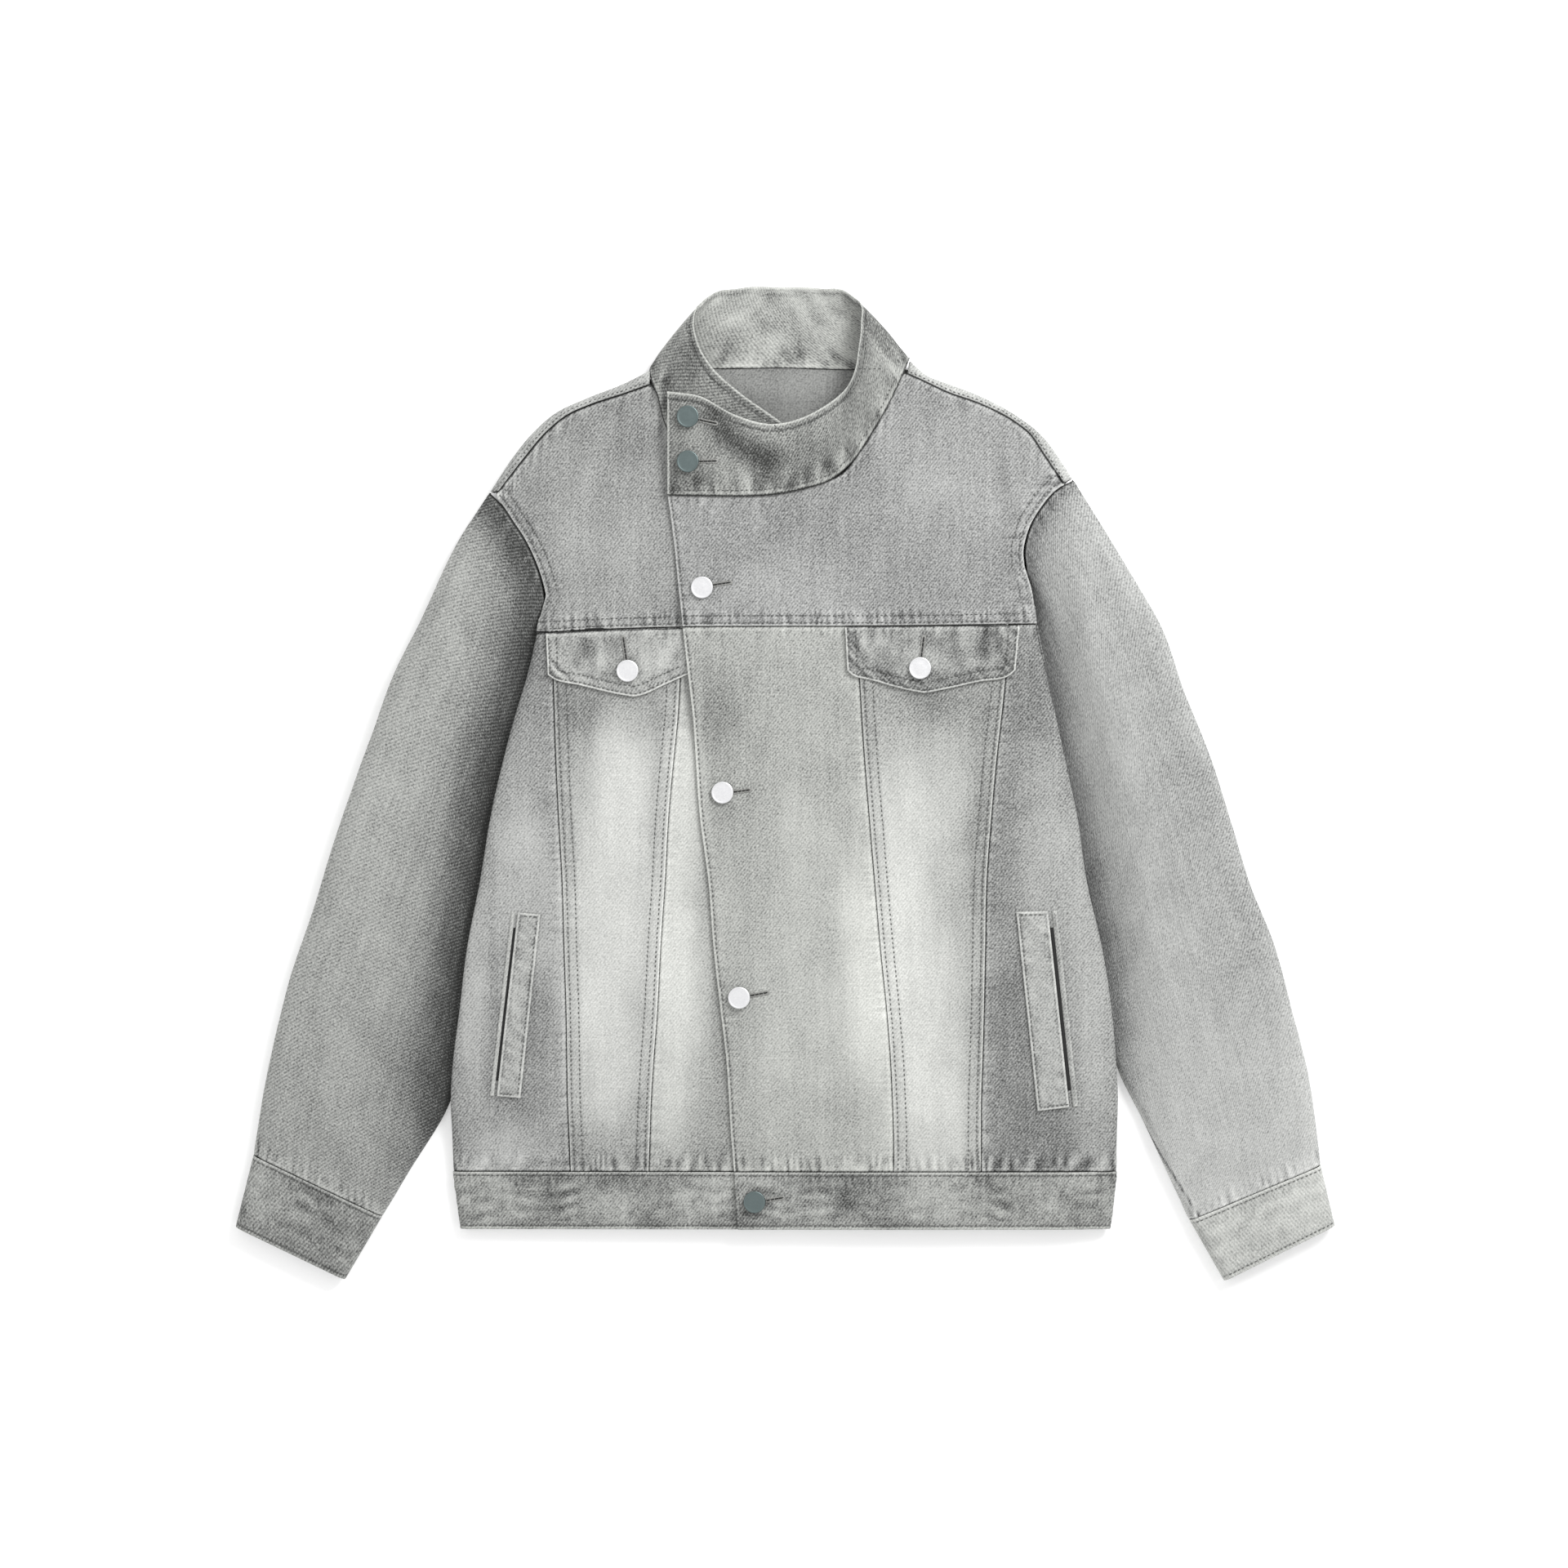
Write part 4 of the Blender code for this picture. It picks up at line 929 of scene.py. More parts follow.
def lower_fronts():
    panels = (  # name, its left and right lines and their edges, over, coolness, paleness
        ("front_side_left", "left", "seam_a", "fold", "low", False, 0.75, -0.12),
        ("front_middle_left", "seam_a", "seam_b", "felled", "felled", False, 0.5, -0.13),
        ("front_centre_under", "seam_b", None, "low", "hidden", False, 0.3, -0.08),
        ("front_centre_over", "placket", "seam_c", "free", "low", True, 0.15, -0.03),
        ("front_middle_right", "seam_c", "seam_d", "felled", "felled", True, 0.4, -0.10),
        ("front_side_right", "seam_d", "right", "low", "fold", True, 0.65, -0.15),
    )
    seeds = {"left": 101, "seam_a": 103, "seam_b": 105, "placket": 107, "seam_c": 109, "seam_d": 111,
             "right": 113, None: 115}
    for name, low, high, first, last, over, cool, base in panels:
        left = body_line(low)
        right = body_line(high) if high else body_line("placket") + np.array((UNDERLAP, 0.0))
        left, right = left.copy(), right.copy()
        left[-1, 1] = np.interp(left[-1, 0], YOKE_LINE[:, 0], YOKE_LINE[:, 1])
        right[-1, 1] = np.interp(right[-1, 0], YOKE_LINE[:, 0], YOKE_LINE[:, 1])
        bottom = curve((left[0], right[0]))
        top = yoke_between(left[-1, 0], right[-1, 0])
        cloth = body_patch(bottom, top, left, right, ("hem", "low", first, last), 2.6, over,
                           (121, 123, seeds[low], seeds[high]))
        cloth.cool[:] = cool
        cloth.fade += base
        add_cloth(name, cloth)


def yokes():
    hidden_x = BODY["placket"][-1] + UNDERLAP
    left = np.concatenate([curve((YOKE_SEAM[0], *SIDE_TOP["left"])), curve(LEFT_ARMHOLE)[1:-4],
                           np.array(LEFT_SHOULDER[:1], float)])
    top = np.concatenate([curve(LEFT_SHOULDER), curve(LOWER_NECK)[1:]])
    cloth = body_patch(yoke_between(YOKE_SEAM[0][0], hidden_x), top, left,
                       curve(((hidden_x, 122), LOWER_NECK[-1])), ("yoke", "shoulder", "arm", "hidden"),
                       2.4, False, (123, 125, 127, 0))
    cloth.cool[:] = 0.7
    cloth.fade -= 0.11
    add_cloth("front_yoke_under", cloth)
    right = np.concatenate([curve((YOKE_SEAM[-1], *SIDE_TOP["right"])), curve(RIGHT_ARMHOLE)[1:-4],
                            np.array(RIGHT_SHOULDER[-1:], float)])
    top = np.concatenate([curve(UPPER_NECK), curve(RIGHT_SHOULDER)[1:]])
    cloth = body_patch(yoke_between(-80, YOKE_SEAM[-1][0]), top, curve(PLACKET_TOP), right,
                       ("yoke", "shoulder", "free", "arm"), 2.4, True, (123, 129, 107, 131))
    cloth.cool[:] = 0.9
    cloth.fade -= 0.10
    add_cloth("front_yoke_over", cloth)


def backs():
    y = shares(BACK_YOKE_Y - HEM_SEAM_Y, 6.0, "low", "low") * (BACK_YOKE_Y - HEM_SEAM_Y) + HEM_SEAM_Y
    pull = np.interp(y, BACK_SIDE_EDGE["y"], BACK_SIDE_EDGE["inset"], left=0.0)
    edges = []
    for side, armhole, sign in (("left", LEFT_BACK_ARMHOLE, 1), ("right", RIGHT_BACK_ARMHOLE, -1)):
        line, hole = SIDES[side], curve(armhole)
        edge = np.interp(y, line[:, 1], line[:, 0]) + sign * pull
        edges.append(np.where(y > 50, np.interp(y, hole[:, 1], hole[:, 0]), edge))
    share = (y - HEM_SEAM_Y) / (BACK_YOKE_Y - HEM_SEAM_Y)
    seam = BACK_SEAM_HEM + (BACK_SEAM_TOP - BACK_SEAM_HEM) * share
    panels = (
        ("back_side_left", edges[0], -seam, "fold", "low"),
        ("back_centre", -seam, seam, "felled", "felled"),
        ("back_side_right", seam, edges[1], "low", "fold"),
    )
    for name, low, high, first, last in panels:
        across = shares(float(np.mean(high - low)), 6.0, first, last)
        x = low[:, None] + (high - low)[:, None] * across
        yy = np.broadcast_to(y[:, None], x.shape)
        cloth = Cloth(np.stack([x, yy, back_height(x, yy)], axis=-1))
        relief = np.zeros(x.shape)
        for kind, away in ((first, x - low[:, None]), (last, high[:, None] - x)):
            if kind != "fold":
                height, pale, dark = edge_relief(kind, away, yy, 141)
                cloth.fade += pale
                cloth.dark = np.maximum(cloth.dark, dark)
                relief += np.minimum(height, 0.0)
        cloth.fade += 0.05 * noise(x, yy, 40.0, 34, 1.6)
        cloth.grid[..., 2] -= relief * 0.6
        add_cloth(name, cloth, facing_up=False)


YOKE_ROWS = (0.0, 0.02, 0.1, 0.25, 0.4, 0.55, 0.7, 0.85)  # shares of the flat part's height


def back_yoke():
    """Flat on the surface, then over both shoulders to the front shoulder seams."""
    rounds = np.radians((-90, -65, -40, -15, 15, 40, 65, 90))
    left_fold, right_fold = curve(LEFT_SHOULDER_FOLD), curve(RIGHT_SHOULDER_FOLD)
    columns = []
    count = 64
    for fold, seam, ends, low_ends in (
        (left_fold, curve(LEFT_SHOULDER), (0.0, 0.985), (-200.5, -118.0)),
        (right_fold, curve(RIGHT_SHOULDER), (0.025, 1.0), (118.0, 197.5)),
    ):
        at = np.linspace(*ends, count)
        edge, line = along(fold, at), along(seam, at)
        span = np.linalg.norm(line - edge, axis=1, keepdims=True)
        inward, reach = (line - edge) / span, span - 0.3
        rows = []
        for angle in rounds:
            plan = edge + inward * reach * SHOULDER_FOLD * (1.0 - math.cos(angle))
            z = np.full((count, 1), SHOULDER_HEIGHT / 2 * (1.0 + math.sin(angle)))
            rows.append(np.concatenate([plan, z], axis=1))
        for share in (0.7, 0.8, 0.88, 0.95, 1.0):
            plan = edge + inward * reach * share
            z = SHOULDER_HEIGHT + 0.9 * quarter((1.0 - share) / 0.12) * smooth((share - 0.5) / 0.2)
            rows.append(np.concatenate([plan, np.full((count, 1), z)], axis=1))
        low_x = np.linspace(*low_ends, count)
        low = np.stack([low_x, np.full(count, BACK_YOKE_Y), np.zeros(count)], axis=1)
        flat = [low + (rows[0] - low) * s for s in YOKE_ROWS]
        columns.append(np.array(flat + rows))
    left, right = columns
    middle = np.linspace(left[:9, -1], right[:9, 0], 48)[1:-1].transpose(1, 0, 2)
    depth = (BACK_NECK_Y - BACK_YOKE_Y) * np.array((*YOKE_ROWS, 1.0))
    middle[..., 1] = BACK_YOKE_Y + depth[:, None]
    verts, faces, index = [], [], {}

    def add(grid, key):
        first = len(verts)
        verts.extend((grid.reshape(-1, 3) * MM).tolist())
        rows, cols = grid.shape[:2]
        index[key] = first + np.arange(rows * cols).reshape(rows, cols)

    add(left, "left")
    add(middle, "middle")
    add(right, "right")
    joined = np.concatenate([index["left"][:9], index["middle"], index["right"][:9]], axis=1)
    for block in (joined, index["left"][8:], index["right"][8:]):
        quads = np.stack([block[1:, :-1], block[1:, 1:], block[:-1, 1:], block[:-1, :-1]], axis=-1)
        faces.extend(quads.reshape(-1, 4).tolist())
    points = np.array(verts) / MM
    fade = 0.42 + 0.10 * noise(points[:, 0], points[:, 1], 12.0, 35) * (points[:, 2] > 4)
    values = {"fade": fade, "dark": np.zeros(len(verts)), "cool": np.full(len(verts), 0.6)}
    obj = make_mesh("back_yoke", verts, faces, points[:, :2], values, CLOTH, ("denim", "denim_reverse"))
    TREES["back_yoke"] = BVHTree.FromPolygons(verts, faces)
    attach(obj, "root")
    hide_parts("back_yoke")


HEM_ROWS = (0, 0.3, 0.8, 1.5, 2.3, 3.0, 3.7, 5.5, 8, 11, 14, 17, 20, 23, 26, 29, 32, 35, 38,
            40.5, 41.6, 42.3, 43.0, 44.0, 44.7, 45.0)
HEM_TALL, HEM_LAP = 45.0, -37.0  # the band's height, and its lapping end's x at the bottom
HEM_STITCHES = (3.0, 42.3)


def hem_ends(up):
    """The x of the left fold, the right fold and the lapping end, this far up the band."""
    share = up / HEM_TALL
    left = HEM_LEFT + (BODY["left"][0] - HEM_LEFT) * share
    right = HEM_RIGHT + (BODY["right"][0] - HEM_RIGHT) * share
    return left, right, HEM_LAP + (BODY["placket"][0] - HEM_LAP) * share


def hem_band():
    rows_at = np.array(HEM_ROWS)
    y = HEM_Y + rows_at
    left, right, lap = hem_ends(rows_at)
    yy = y[:, None]

    def span(low, high, step, first, last):
        at = shares(float(np.mean(high - low)), step, first, last)
        return low[:, None] + (high - low)[:, None] * at

    under = span(left, lap + UNDERLAP, 2.6, "fold", "hidden")[:, ::-1]
    back = span(left, right, 7.0, "fold", "fold")[:, 1:-1]
    over = span(lap, right, 2.6, "free", "fold")[:, ::-1]
    parts = []
    for x, part in ((under, "under"), (back, "back"), (over, "over")):
        ys = np.broadcast_to(yy, x.shape)
        if part == "back":
            z = back_height(x, ys)
        else:
            z = front_height(x, ys)
            if part == "over":
                z = z + (DOUBLED + 1.2) * smooth(side_distance(x, ys) / 40.0)
        parts.append(np.stack([x, ys, z], axis=-1))
    grid = np.concatenate(parts, axis=1)
    x, ys = grid[..., 0], grid[..., 1]
    cloth = Cloth(grid)
    up = rows_at[:, None] + 0 * x
    shown = np.ones(x.shape)
    shown[:, under.shape[1]:under.shape[1] + back.shape[1]] = 0.25
    run = x + 1000.0 * (shown < 0.5)
    waves = wrinkles(run, up, 201) * smooth((up - 3.5) / 6.0) * smooth((41.5 - up) / 6.0)
    ripple = 0.5 * gathers(run, up, 206) * bell(up - 38.0, 6.0)
    relief = (0.95 * waves + ripple) * shown
    relief += -0.35 * bell(up - 3.0, 0.8) - 0.35 * bell(up - 42.3, 0.8)
    relief += 0.55 * quarter((45.0 - up) / 0.9) + 0.35 * quarter(up / 0.9)
    edge = x - np.interp(ys, y, lap)
    is_over = np.zeros(x.shape, bool)
    is_over[:, under.shape[1] + back.shape[1]:] = True
    relief = relief + np.where(is_over, -0.45 * (1 - quarter(edge / 1.0)), 0.0)
    cloth.fade += 0.17 * waves * shown + 0.20 * ripple - 0.13
    cloth.fade += (0.16 * bell(up - 0.8, 1.2) + 0.16 * bell(up - 44.2, 0.8)
                   + 0.10 * noise(run, up, 26.0, 204, 0.8))
    cloth.dark = 0.22 * bell(up - 3.0, 0.7) + 0.25 * bell(up - 42.3, 0.7)
    cloth.cool[:] = 0.25
    cloth.press(-relief)
    cloth.grid[..., 2] = np.maximum(cloth.grid[..., 2], 0.0)
    add_cloth("hem_band", cloth, DOUBLED, facing_up=False)


# ---------------------------------------------------------------- sleeves and cuffs

SLEEVE_CURVES = dense(SLEEVE_HEIGHTS, "along")


def outside_body(x, y, side):
    armhole = LEFT_ARMHOLE if side == "left" else RIGHT_ARMHOLE
    edge = np.concatenate([SIDES[side], curve(armhole)[1:]])
    away = np.interp(y, edge[:, 1], edge[:, 0]) - x
    return away if side == "left" else -away


def sleeve_heights(plan, up, across, layer, side):
    width = np.linalg.norm(plan[:, -1] - plan[:, 0], axis=1)[:, None]
    across, up = across[None, :], up[:, None]
    from_outer, from_inner = across * width, (1.0 - across) * width
    peak = column(SLEEVE_CURVES, "peak", up)
    blend = smooth((up - 1.0 + ARMHOLE_BLEND) / ARMHOLE_BLEND)
    outer_mid = OUTER_MID * peak + (ARMHOLE_OUTER_MID - OUTER_MID * peak) * blend
    if layer == "floor":
        floor = outer_mid * (1.0 - quarter(from_outer / SLEEVE_FLOOR_FOLD))
        return floor + INNER_MID * (1.0 - quarter(from_inner / SLEEVE_SEAM_FOLD))
    x, y = plan[..., 0], plan[..., 1]
    rise = smooth(outside_body(x, y, side) / SLEEVE_RISE)
    body = SLEEVE_UNDER_BODY + (peak - SLEEVE_UNDER_BODY) * rise
    soft = 0.6 * noise(x, y, 55.0, 11 + (side == "right"), 1.4) + 0.25 * noise(x, y, 26.0, 13)
    body = body + (soft + creases(x, y, "sleeve")) * rise * (1.0 - blend)
    top = body - (body - outer_mid) * (1.0 - quarter(from_outer / SLEEVE_FOLD))
    top = top - (body - INNER_MID) * (1.0 - quarter(from_inner / SLEEVE_SEAM_FOLD))
    split = SLEEVES[side]["goes_under"]
    armhole = np.interp(np.interp(across, (0.0, split, 1.0), (0.0, 0.5, 1.0)),
                        ARMHOLE_HEIGHTS["along"], ARMHOLE_HEIGHTS["height"])
    return top + (armhole - top) * blend


SLEEVE_WIDTH = 135.0  # halfway along
SLEEVE_LINE = ((260, -227), (281, -268), (293, -290), (324, -340))  # a short seam on the right one


def sleeve(side):
    lines = SLEEVES[side]
    outer, inner = curve(lines["outer"]), curve(lines["inner"])
    cuff = curve((outer[0], inner[0]))
    up = shares(length_of(outer), 2.9, "hem", "low")
    top_at = shares(SLEEVE_WIDTH, 2.9, "fold", "fold")
    floor_at = shares(SLEEVE_WIDTH, 9.0, "fold", "fold")[1:-1]
    cut = int(np.argmin(np.abs(floor_at - 0.25)))
    parts = []
    for layer, across in (("floor", floor_at[:cut + 1][::-1]), ("top", top_at),
                          ("floor", floor_at[cut:][::-1])):
        armhole = curve(lines["front_armhole" if layer == "top" else "back_armhole"])
        ends = np.concatenate([[0.0], across, [1.0]])
        plan = coons(cuff, armhole, outer, inner, ends, up)
        height = sleeve_heights(plan, up, ends, layer, side)
        block = np.concatenate([plan, height[..., None]], axis=-1)[:, 1:-1]
        wide = np.linalg.norm(plan[:, -1] - plan[:, 0], axis=1)[:, None]
        sign = 1.0 if layer == "top" else -1.0
        uv = np.stack([np.broadcast_to(ends[None, 1:-1] * wide * sign, block.shape[:2]),
                       np.broadcast_to((up * length_of(outer))[:, None], block.shape[:2])], axis=-1)
        uv[..., 0] *= 1.0 if side == "left" else -1.0
        parts.append((block, uv, np.full(block.shape[:2], layer == "top")))
    ring = np.concatenate([p[0] for p in parts], axis=1)
    uv = np.concatenate([p[1] for p in parts], axis=1)
    on_top = np.concatenate([p[2] for p in parts], axis=1)
    # The upper sleeve ends just round the inner fold.
    seam = parts[0][0].shape[1] + parts[1][0].shape[1] + 8
    for name, piece in (("upper", slice(0, seam + 1)), ("under", slice(seam, None))):
        grid = ring[:, piece]
        cloth = Cloth(grid, uv[:, piece])
        x, y = grid[..., 0], grid[..., 1]
        top = on_top[:, piece]
        far = (up * length_of(outer))[:, None] + 0 * x
        run = uv[:, piece][..., 0]
        relief = cloth.edge("hem", far, run, 211)
        seam_relief = cloth.edge("low", length_of(outer) - far, run, 213)
        relief = (0.7 * relief + seam_relief) * np.where(top, 1.0, 0.3)
        relief += (0.12 * noise(x, y, 10.0, 36, 1.4) + 0.05 * noise(x, y, 4.5, 37)) * top
        cloth.fade += -0.02 + 0.04 * noise(x, y, 60.0, 38, 2.0)
        cloth.fade += (-0.05 if side == "left" else 0.10) * smooth((-120.0 - y) / 120.0)
        # Painted shadow: the body's shadow on each sleeve beside it, wider and darker on the left sleeve.
        beside = outside_body(x, y, side)
        reach, depth = (34.0, 0.34) if side == "left" else (15.0, 0.22)
        cloth.fade -= depth * bell(np.maximum(beside, 0.0), reach) * top
        cloth.cool[:] = 0.35 if side == "left" else 0.75
        if side == "right":
            line = distance_to(curve(SLEEVE_LINE), x, y)
            # A short seam: a groove with a dark line of painted shade in it, and a paler edge beside.
            relief = relief - 0.5 * bell(line, 0.9) * top
            cloth.dark = np.maximum(cloth.dark, 0.7 * bell(line, 0.7) * top)
            cloth.fade += 0.16 * bell(line - 2.0, 1.0) * top
        way = normals(cloth.grid) * (-1.0 if side == "right" else 1.0)
        way[..., 2] = np.where(top, way[..., 2], np.minimum(way[..., 2], 0.0))
        cloth.grid = cloth.grid + way * relief[..., None]
        cloth.grid[..., 2] = np.maximum(cloth.grid[..., 2], 0.0)
        add_cloth(f"sleeve_{side}_{name}", cloth, facing_up=side == "left")


CUFF_NEAR = (0, 0.3, 0.8, 1.5, 2.2, 2.9, 3.6, 5.0, 7.5, *range(10, 53, 3))  # rows from the seam
CUFF_FAR = (4.2, 3.4, 2.7, 2.0, 1.2, 0.5, 0.0)  # the last rows, from the open end


def cuff_ends(side):
    """A cuff's seam and open end, each a line in plan, and the height between them."""
    lines = SLEEVES[side]
    seam = np.array((lines["outer"][0], lines["inner"][0]), float)
    end = np.array(lines["cuff_end"], float)
    return seam, end, float(np.linalg.norm((end - seam).mean(axis=0)))


def cuff(side):
    seam, end, tall = cuff_ends(side)
    near = np.array(CUFF_NEAR)
    from_seam = np.concatenate([near[near < tall - 4.6], tall - np.array(CUFF_FAR)])
    half = CUFF_HEIGHT / 2
    rings, uvs = [], []
    for at in from_seam:
        share = at / tall
        a, b = seam + (end - seam) * share
        long = float(np.linalg.norm(b - a))
        out = (b - a) / long
        ring = []
        flat = np.linspace(half, long - half, 36)[1:-1]
        turn = [math.radians(-90.0 + 22.5 * step) for step in range(9)]
        # The underside from the inner fold to the outer one, round it, the top and round the inner fold
        ring.extend((*(a + out * s), 0.0) for s in flat[::-1])
        ring.extend((*(a + out * half * (1.0 - math.cos(t))), half * (1.0 + math.sin(t))) for t in turn)
        ring.extend((*(a + out * s), CUFF_HEIGHT) for s in flat)
        ring.extend((*(b - out * half * (1.0 - math.cos(t))), half * (1.0 + math.sin(t))) for t in turn[::-1])
        ring = np.array(ring)
        rings.append(ring)
        steps = np.linalg.norm(np.diff(ring, axis=0), axis=1)
        uvs.append(np.stack([np.concatenate([[0], np.cumsum(steps)]), np.full(len(ring), -at)], axis=1))
    grid, uv = np.array(rings), np.array(uvs)
    cloth = Cloth(grid, uv, closed=True)
    down = from_seam[:, None] + 0 * grid[..., 0]
    run = uv[..., 0]
    top = grid[..., 2] > half
    waves = wrinkles(run, down, 221 + 10 * (side == "right"), 14.0)
    waves = waves * smooth((down - 4.0) / 6.0) * smooth((tall - 4.0 - down) / 6.0)
    ripple = 0.4 * gathers(run, down, 225) * bell(down - 7.0, 6.0)
    relief = (0.7 * waves + ripple) * np.where(top, 1.0, 0.0)
    relief += np.where(top, 0.55 * quarter(down / 0.9) + 0.3 * quarter((tall - down) / 0.9), 0.0)
    relief -= np.where(top, 0.35 * bell(down - 2.9, 0.8) + 0.35 * bell(tall - down - 3.0, 0.8), 0.0)
    cloth.fade += 0.13 * waves + 0.18 * ripple + 0.16 * bell(down - 0.9, 0.9) + 0.10 * bell(tall - down, 1.2)
    cloth.fade += 0.08 * noise(run, down, 24.0, 227) + (-0.15 if side == "left" else 0.08)
    cloth.dark = 0.25 * bell(down - 2.9, 0.7) + 0.2 * bell(tall - down - 3.0, 0.7)
    cloth.cool[:] = 0.3
    cloth.grid[..., 2] += relief
    add_cloth(f"cuff_{side}", cloth, DOUBLED, facing_up=side == "right")


# ---------------------------------------------------------------- collar

COLLAR_CREASES = (  # points, half width and height
    (((-60, 283), (-40, 262), (-12, 250)), 9.0, -2.4),
    (((-44, 292), (-22, 272), (4, 262)), 6.0, 1.0),
    (((-30, 262), (-12, 244), (14, 240)), 6.0, 1.1),
    (((2, 276), (18, 256), (30, 246)), 6.0, -1.1),
    (((34, 282), (48, 272), (58, 290)), 7.0, -0.9),
    (((70, 340), (62, 318), (56, 300)), 6.0, 0.9),
)
COLLAR_SHADE = ((-58, 284), (-38, 263), (-14, 251))


def collar():
    table = np.array(COLLAR, float)
    neck, rim = table[:, :3].copy(), table[:, 3:]
    down = (neck - rim)[:, :2] / np.linalg.norm((neck - rim)[:, :2], axis=1, keepdims=True)
    neck[:, :2] += down * (NECK_LAP * smooth((neck[:, 2] - 15.0) / 3.0))[:, None]
    mid = (neck + rim) / 2
    t = np.concatenate([[0.0], np.cumsum(np.linalg.norm(np.diff(mid, axis=0), axis=1))])
    count = int(t[-1] / 2.2)
    ends = np.array((0, 0.3, 0.8, 1.4, 2.0, 2.6, 3.2, 4.4, 6.2))
    at = np.concatenate([ends, np.linspace(8.2, t[-1], count)])

    low, high = cubic(neck, t, at), cubic(rim, t, at)
    low[:, 2], high[:, 2] = np.maximum(low[:, 2], 0.0), np.maximum(high[:, 2], 0.0)
    tall = np.linalg.norm(high - low, axis=1)
    mean = float(tall.mean())
    up = shares(mean, 2.4, "low", "free")
    grid = low[None] + (high - low)[None] * up[:, None, None]
    from_neck = up[:, None] * tall[None]
    from_rim = (1.0 - up[:, None]) * tall[None]
    run = np.broadcast_to(at[None], from_neck.shape)
    cloth = Cloth(grid, np.stack([run, from_neck], axis=-1))
    x, y, z = grid[..., 0], grid[..., 1], grid[..., 2]
    front = smooth((z - 8.0) / 8.0)
    way = normals(grid)
    relief = COLLAR_BULGE * np.sin(np.pi * up)[:, None] * (z > 0.5)
    relief += cloth.edge("low", from_neck, run, 231) * 0.8
    ripple = 0.75 * noise(run, from_neck * 0.35, 5.2, 233) + 0.45 * noise(run, from_neck * 0.5, 9.0, 234)
    window = bell(np.maximum(from_neck - 9.0, 0), 9.0) * smooth(from_neck / 3.0)
    relief += 0.75 * ripple * window
    cloth.fade += 0.26 * ripple * window
    relief += 0.45 * bell(from_rim - 1.2, 1.0) - 0.40 * bell(from_rim - 5.6, 1.0)
    cloth.fade += 0.30 * bell(from_rim - 0.8, 0.9)
    cloth.dark = np.maximum(cloth.dark, 0.30 * bell(from_rim - 5.6, 0.8))
    relief += 0.45 * bell(run - 1.7, 1.2)
    cloth.fade += 0.28 * bell(run - 0.7, 0.8)
    for points, width, height in COLLAR_CREASES:
        away = distance_to(curve(points, 8.0), x, y)
        relief += height * bell(away, width) * front * smooth((z - 21.0) / 1.5)
    shade = bell(distance_to(curve(COLLAR_SHADE, 8.0), x, y), 10.0) * smooth((z - 21.0) / 1.5)
    left = smooth((z - 8.0) / 6.0) * smooth((20.9 - z) / 1.0)
    cloth.fade += -0.17 * shade - 0.12 * front - 0.07 * left - 0.03 + 0.05 * noise(run, from_neck, 26.0, 235)
    cloth.fade += 0.10 * noise(run, from_neck, 11.0, 236) * (1.0 - front)
    cloth.cool[:] = 0.1
    back = (z < 3.0)
    relief = np.where(back, 0.35 * relief, relief)
    sign = np.where(way[..., 2] * front < 0, -1.0, 1.0)
    cloth.grid = cloth.grid + way * (sign * np.where(back, np.abs(relief), relief))[..., None]
    cloth.grid[..., 2] = np.maximum(cloth.grid[..., 2], 0.0)
    add_cloth("collar", cloth, DOUBLED, materials=("denim", "denim"))


# ---------------------------------------------------------------- pockets

def flap(side):
    spec = FLAPS[side]
    bottom, top = curve(spec["bottom"]), curve(spec["top"])
    left, right = curve((bottom[0], top[0])), curve((bottom[-1], top[-1]))
    kinds = ("flap", "low", "flap", "flap" if side == "right" else "hidden")
    wide, tall = length_of(bottom), (length_of(left) + length_of(right)) / 2 + 6.0
    across, up = shares(wide, 2.2, kinds[2], kinds[3]), shares(tall, 2.2, kinds[0], kinds[1])
    plan = coons(bottom, top, left, right, across, up)
    x, y = plan[..., 0], plan[..., 1]
    ground = front_height(x, y, spec["over"])
    cloth = Cloth(np.concatenate([plan, (ground + LIE + DOUBLED)[..., None]], axis=-1))
    relief = np.zeros(x.shape)
    free = distance_to(bottom, x, y)
    free = np.minimum(free, distance_to(left, x, y))
    if side == "right":
        free = np.minimum(free, distance_to(right, x, y))
    relief += cloth.edge("flap", free, x + y, 241)
    relief += cloth.edge("low", distance_to(top, x, y), x, 243)
    waves = 0.6 * noise(x, y, 12.0, 245, 1.3) + 0.4 * noise(x, y, 6.0, 246, 1.4)
    inside = smooth((free - 9.0) / 5.0)
    relief += 0.85 * waves * inside
    cloth.fade += 0.26 * waves * inside + (-0.04 if side == "left" else -0.16) + 0.20 * bell(free - 0.6, 0.7)
    cloth.cool[:] = 0.45
    relief -= 0.5 * (1 - quarter(free / 1.1))
    cloth.press(relief)
    add_cloth(f"flap_{side}", cloth, DOUBLED)


WELT_LENGTH = 146.0


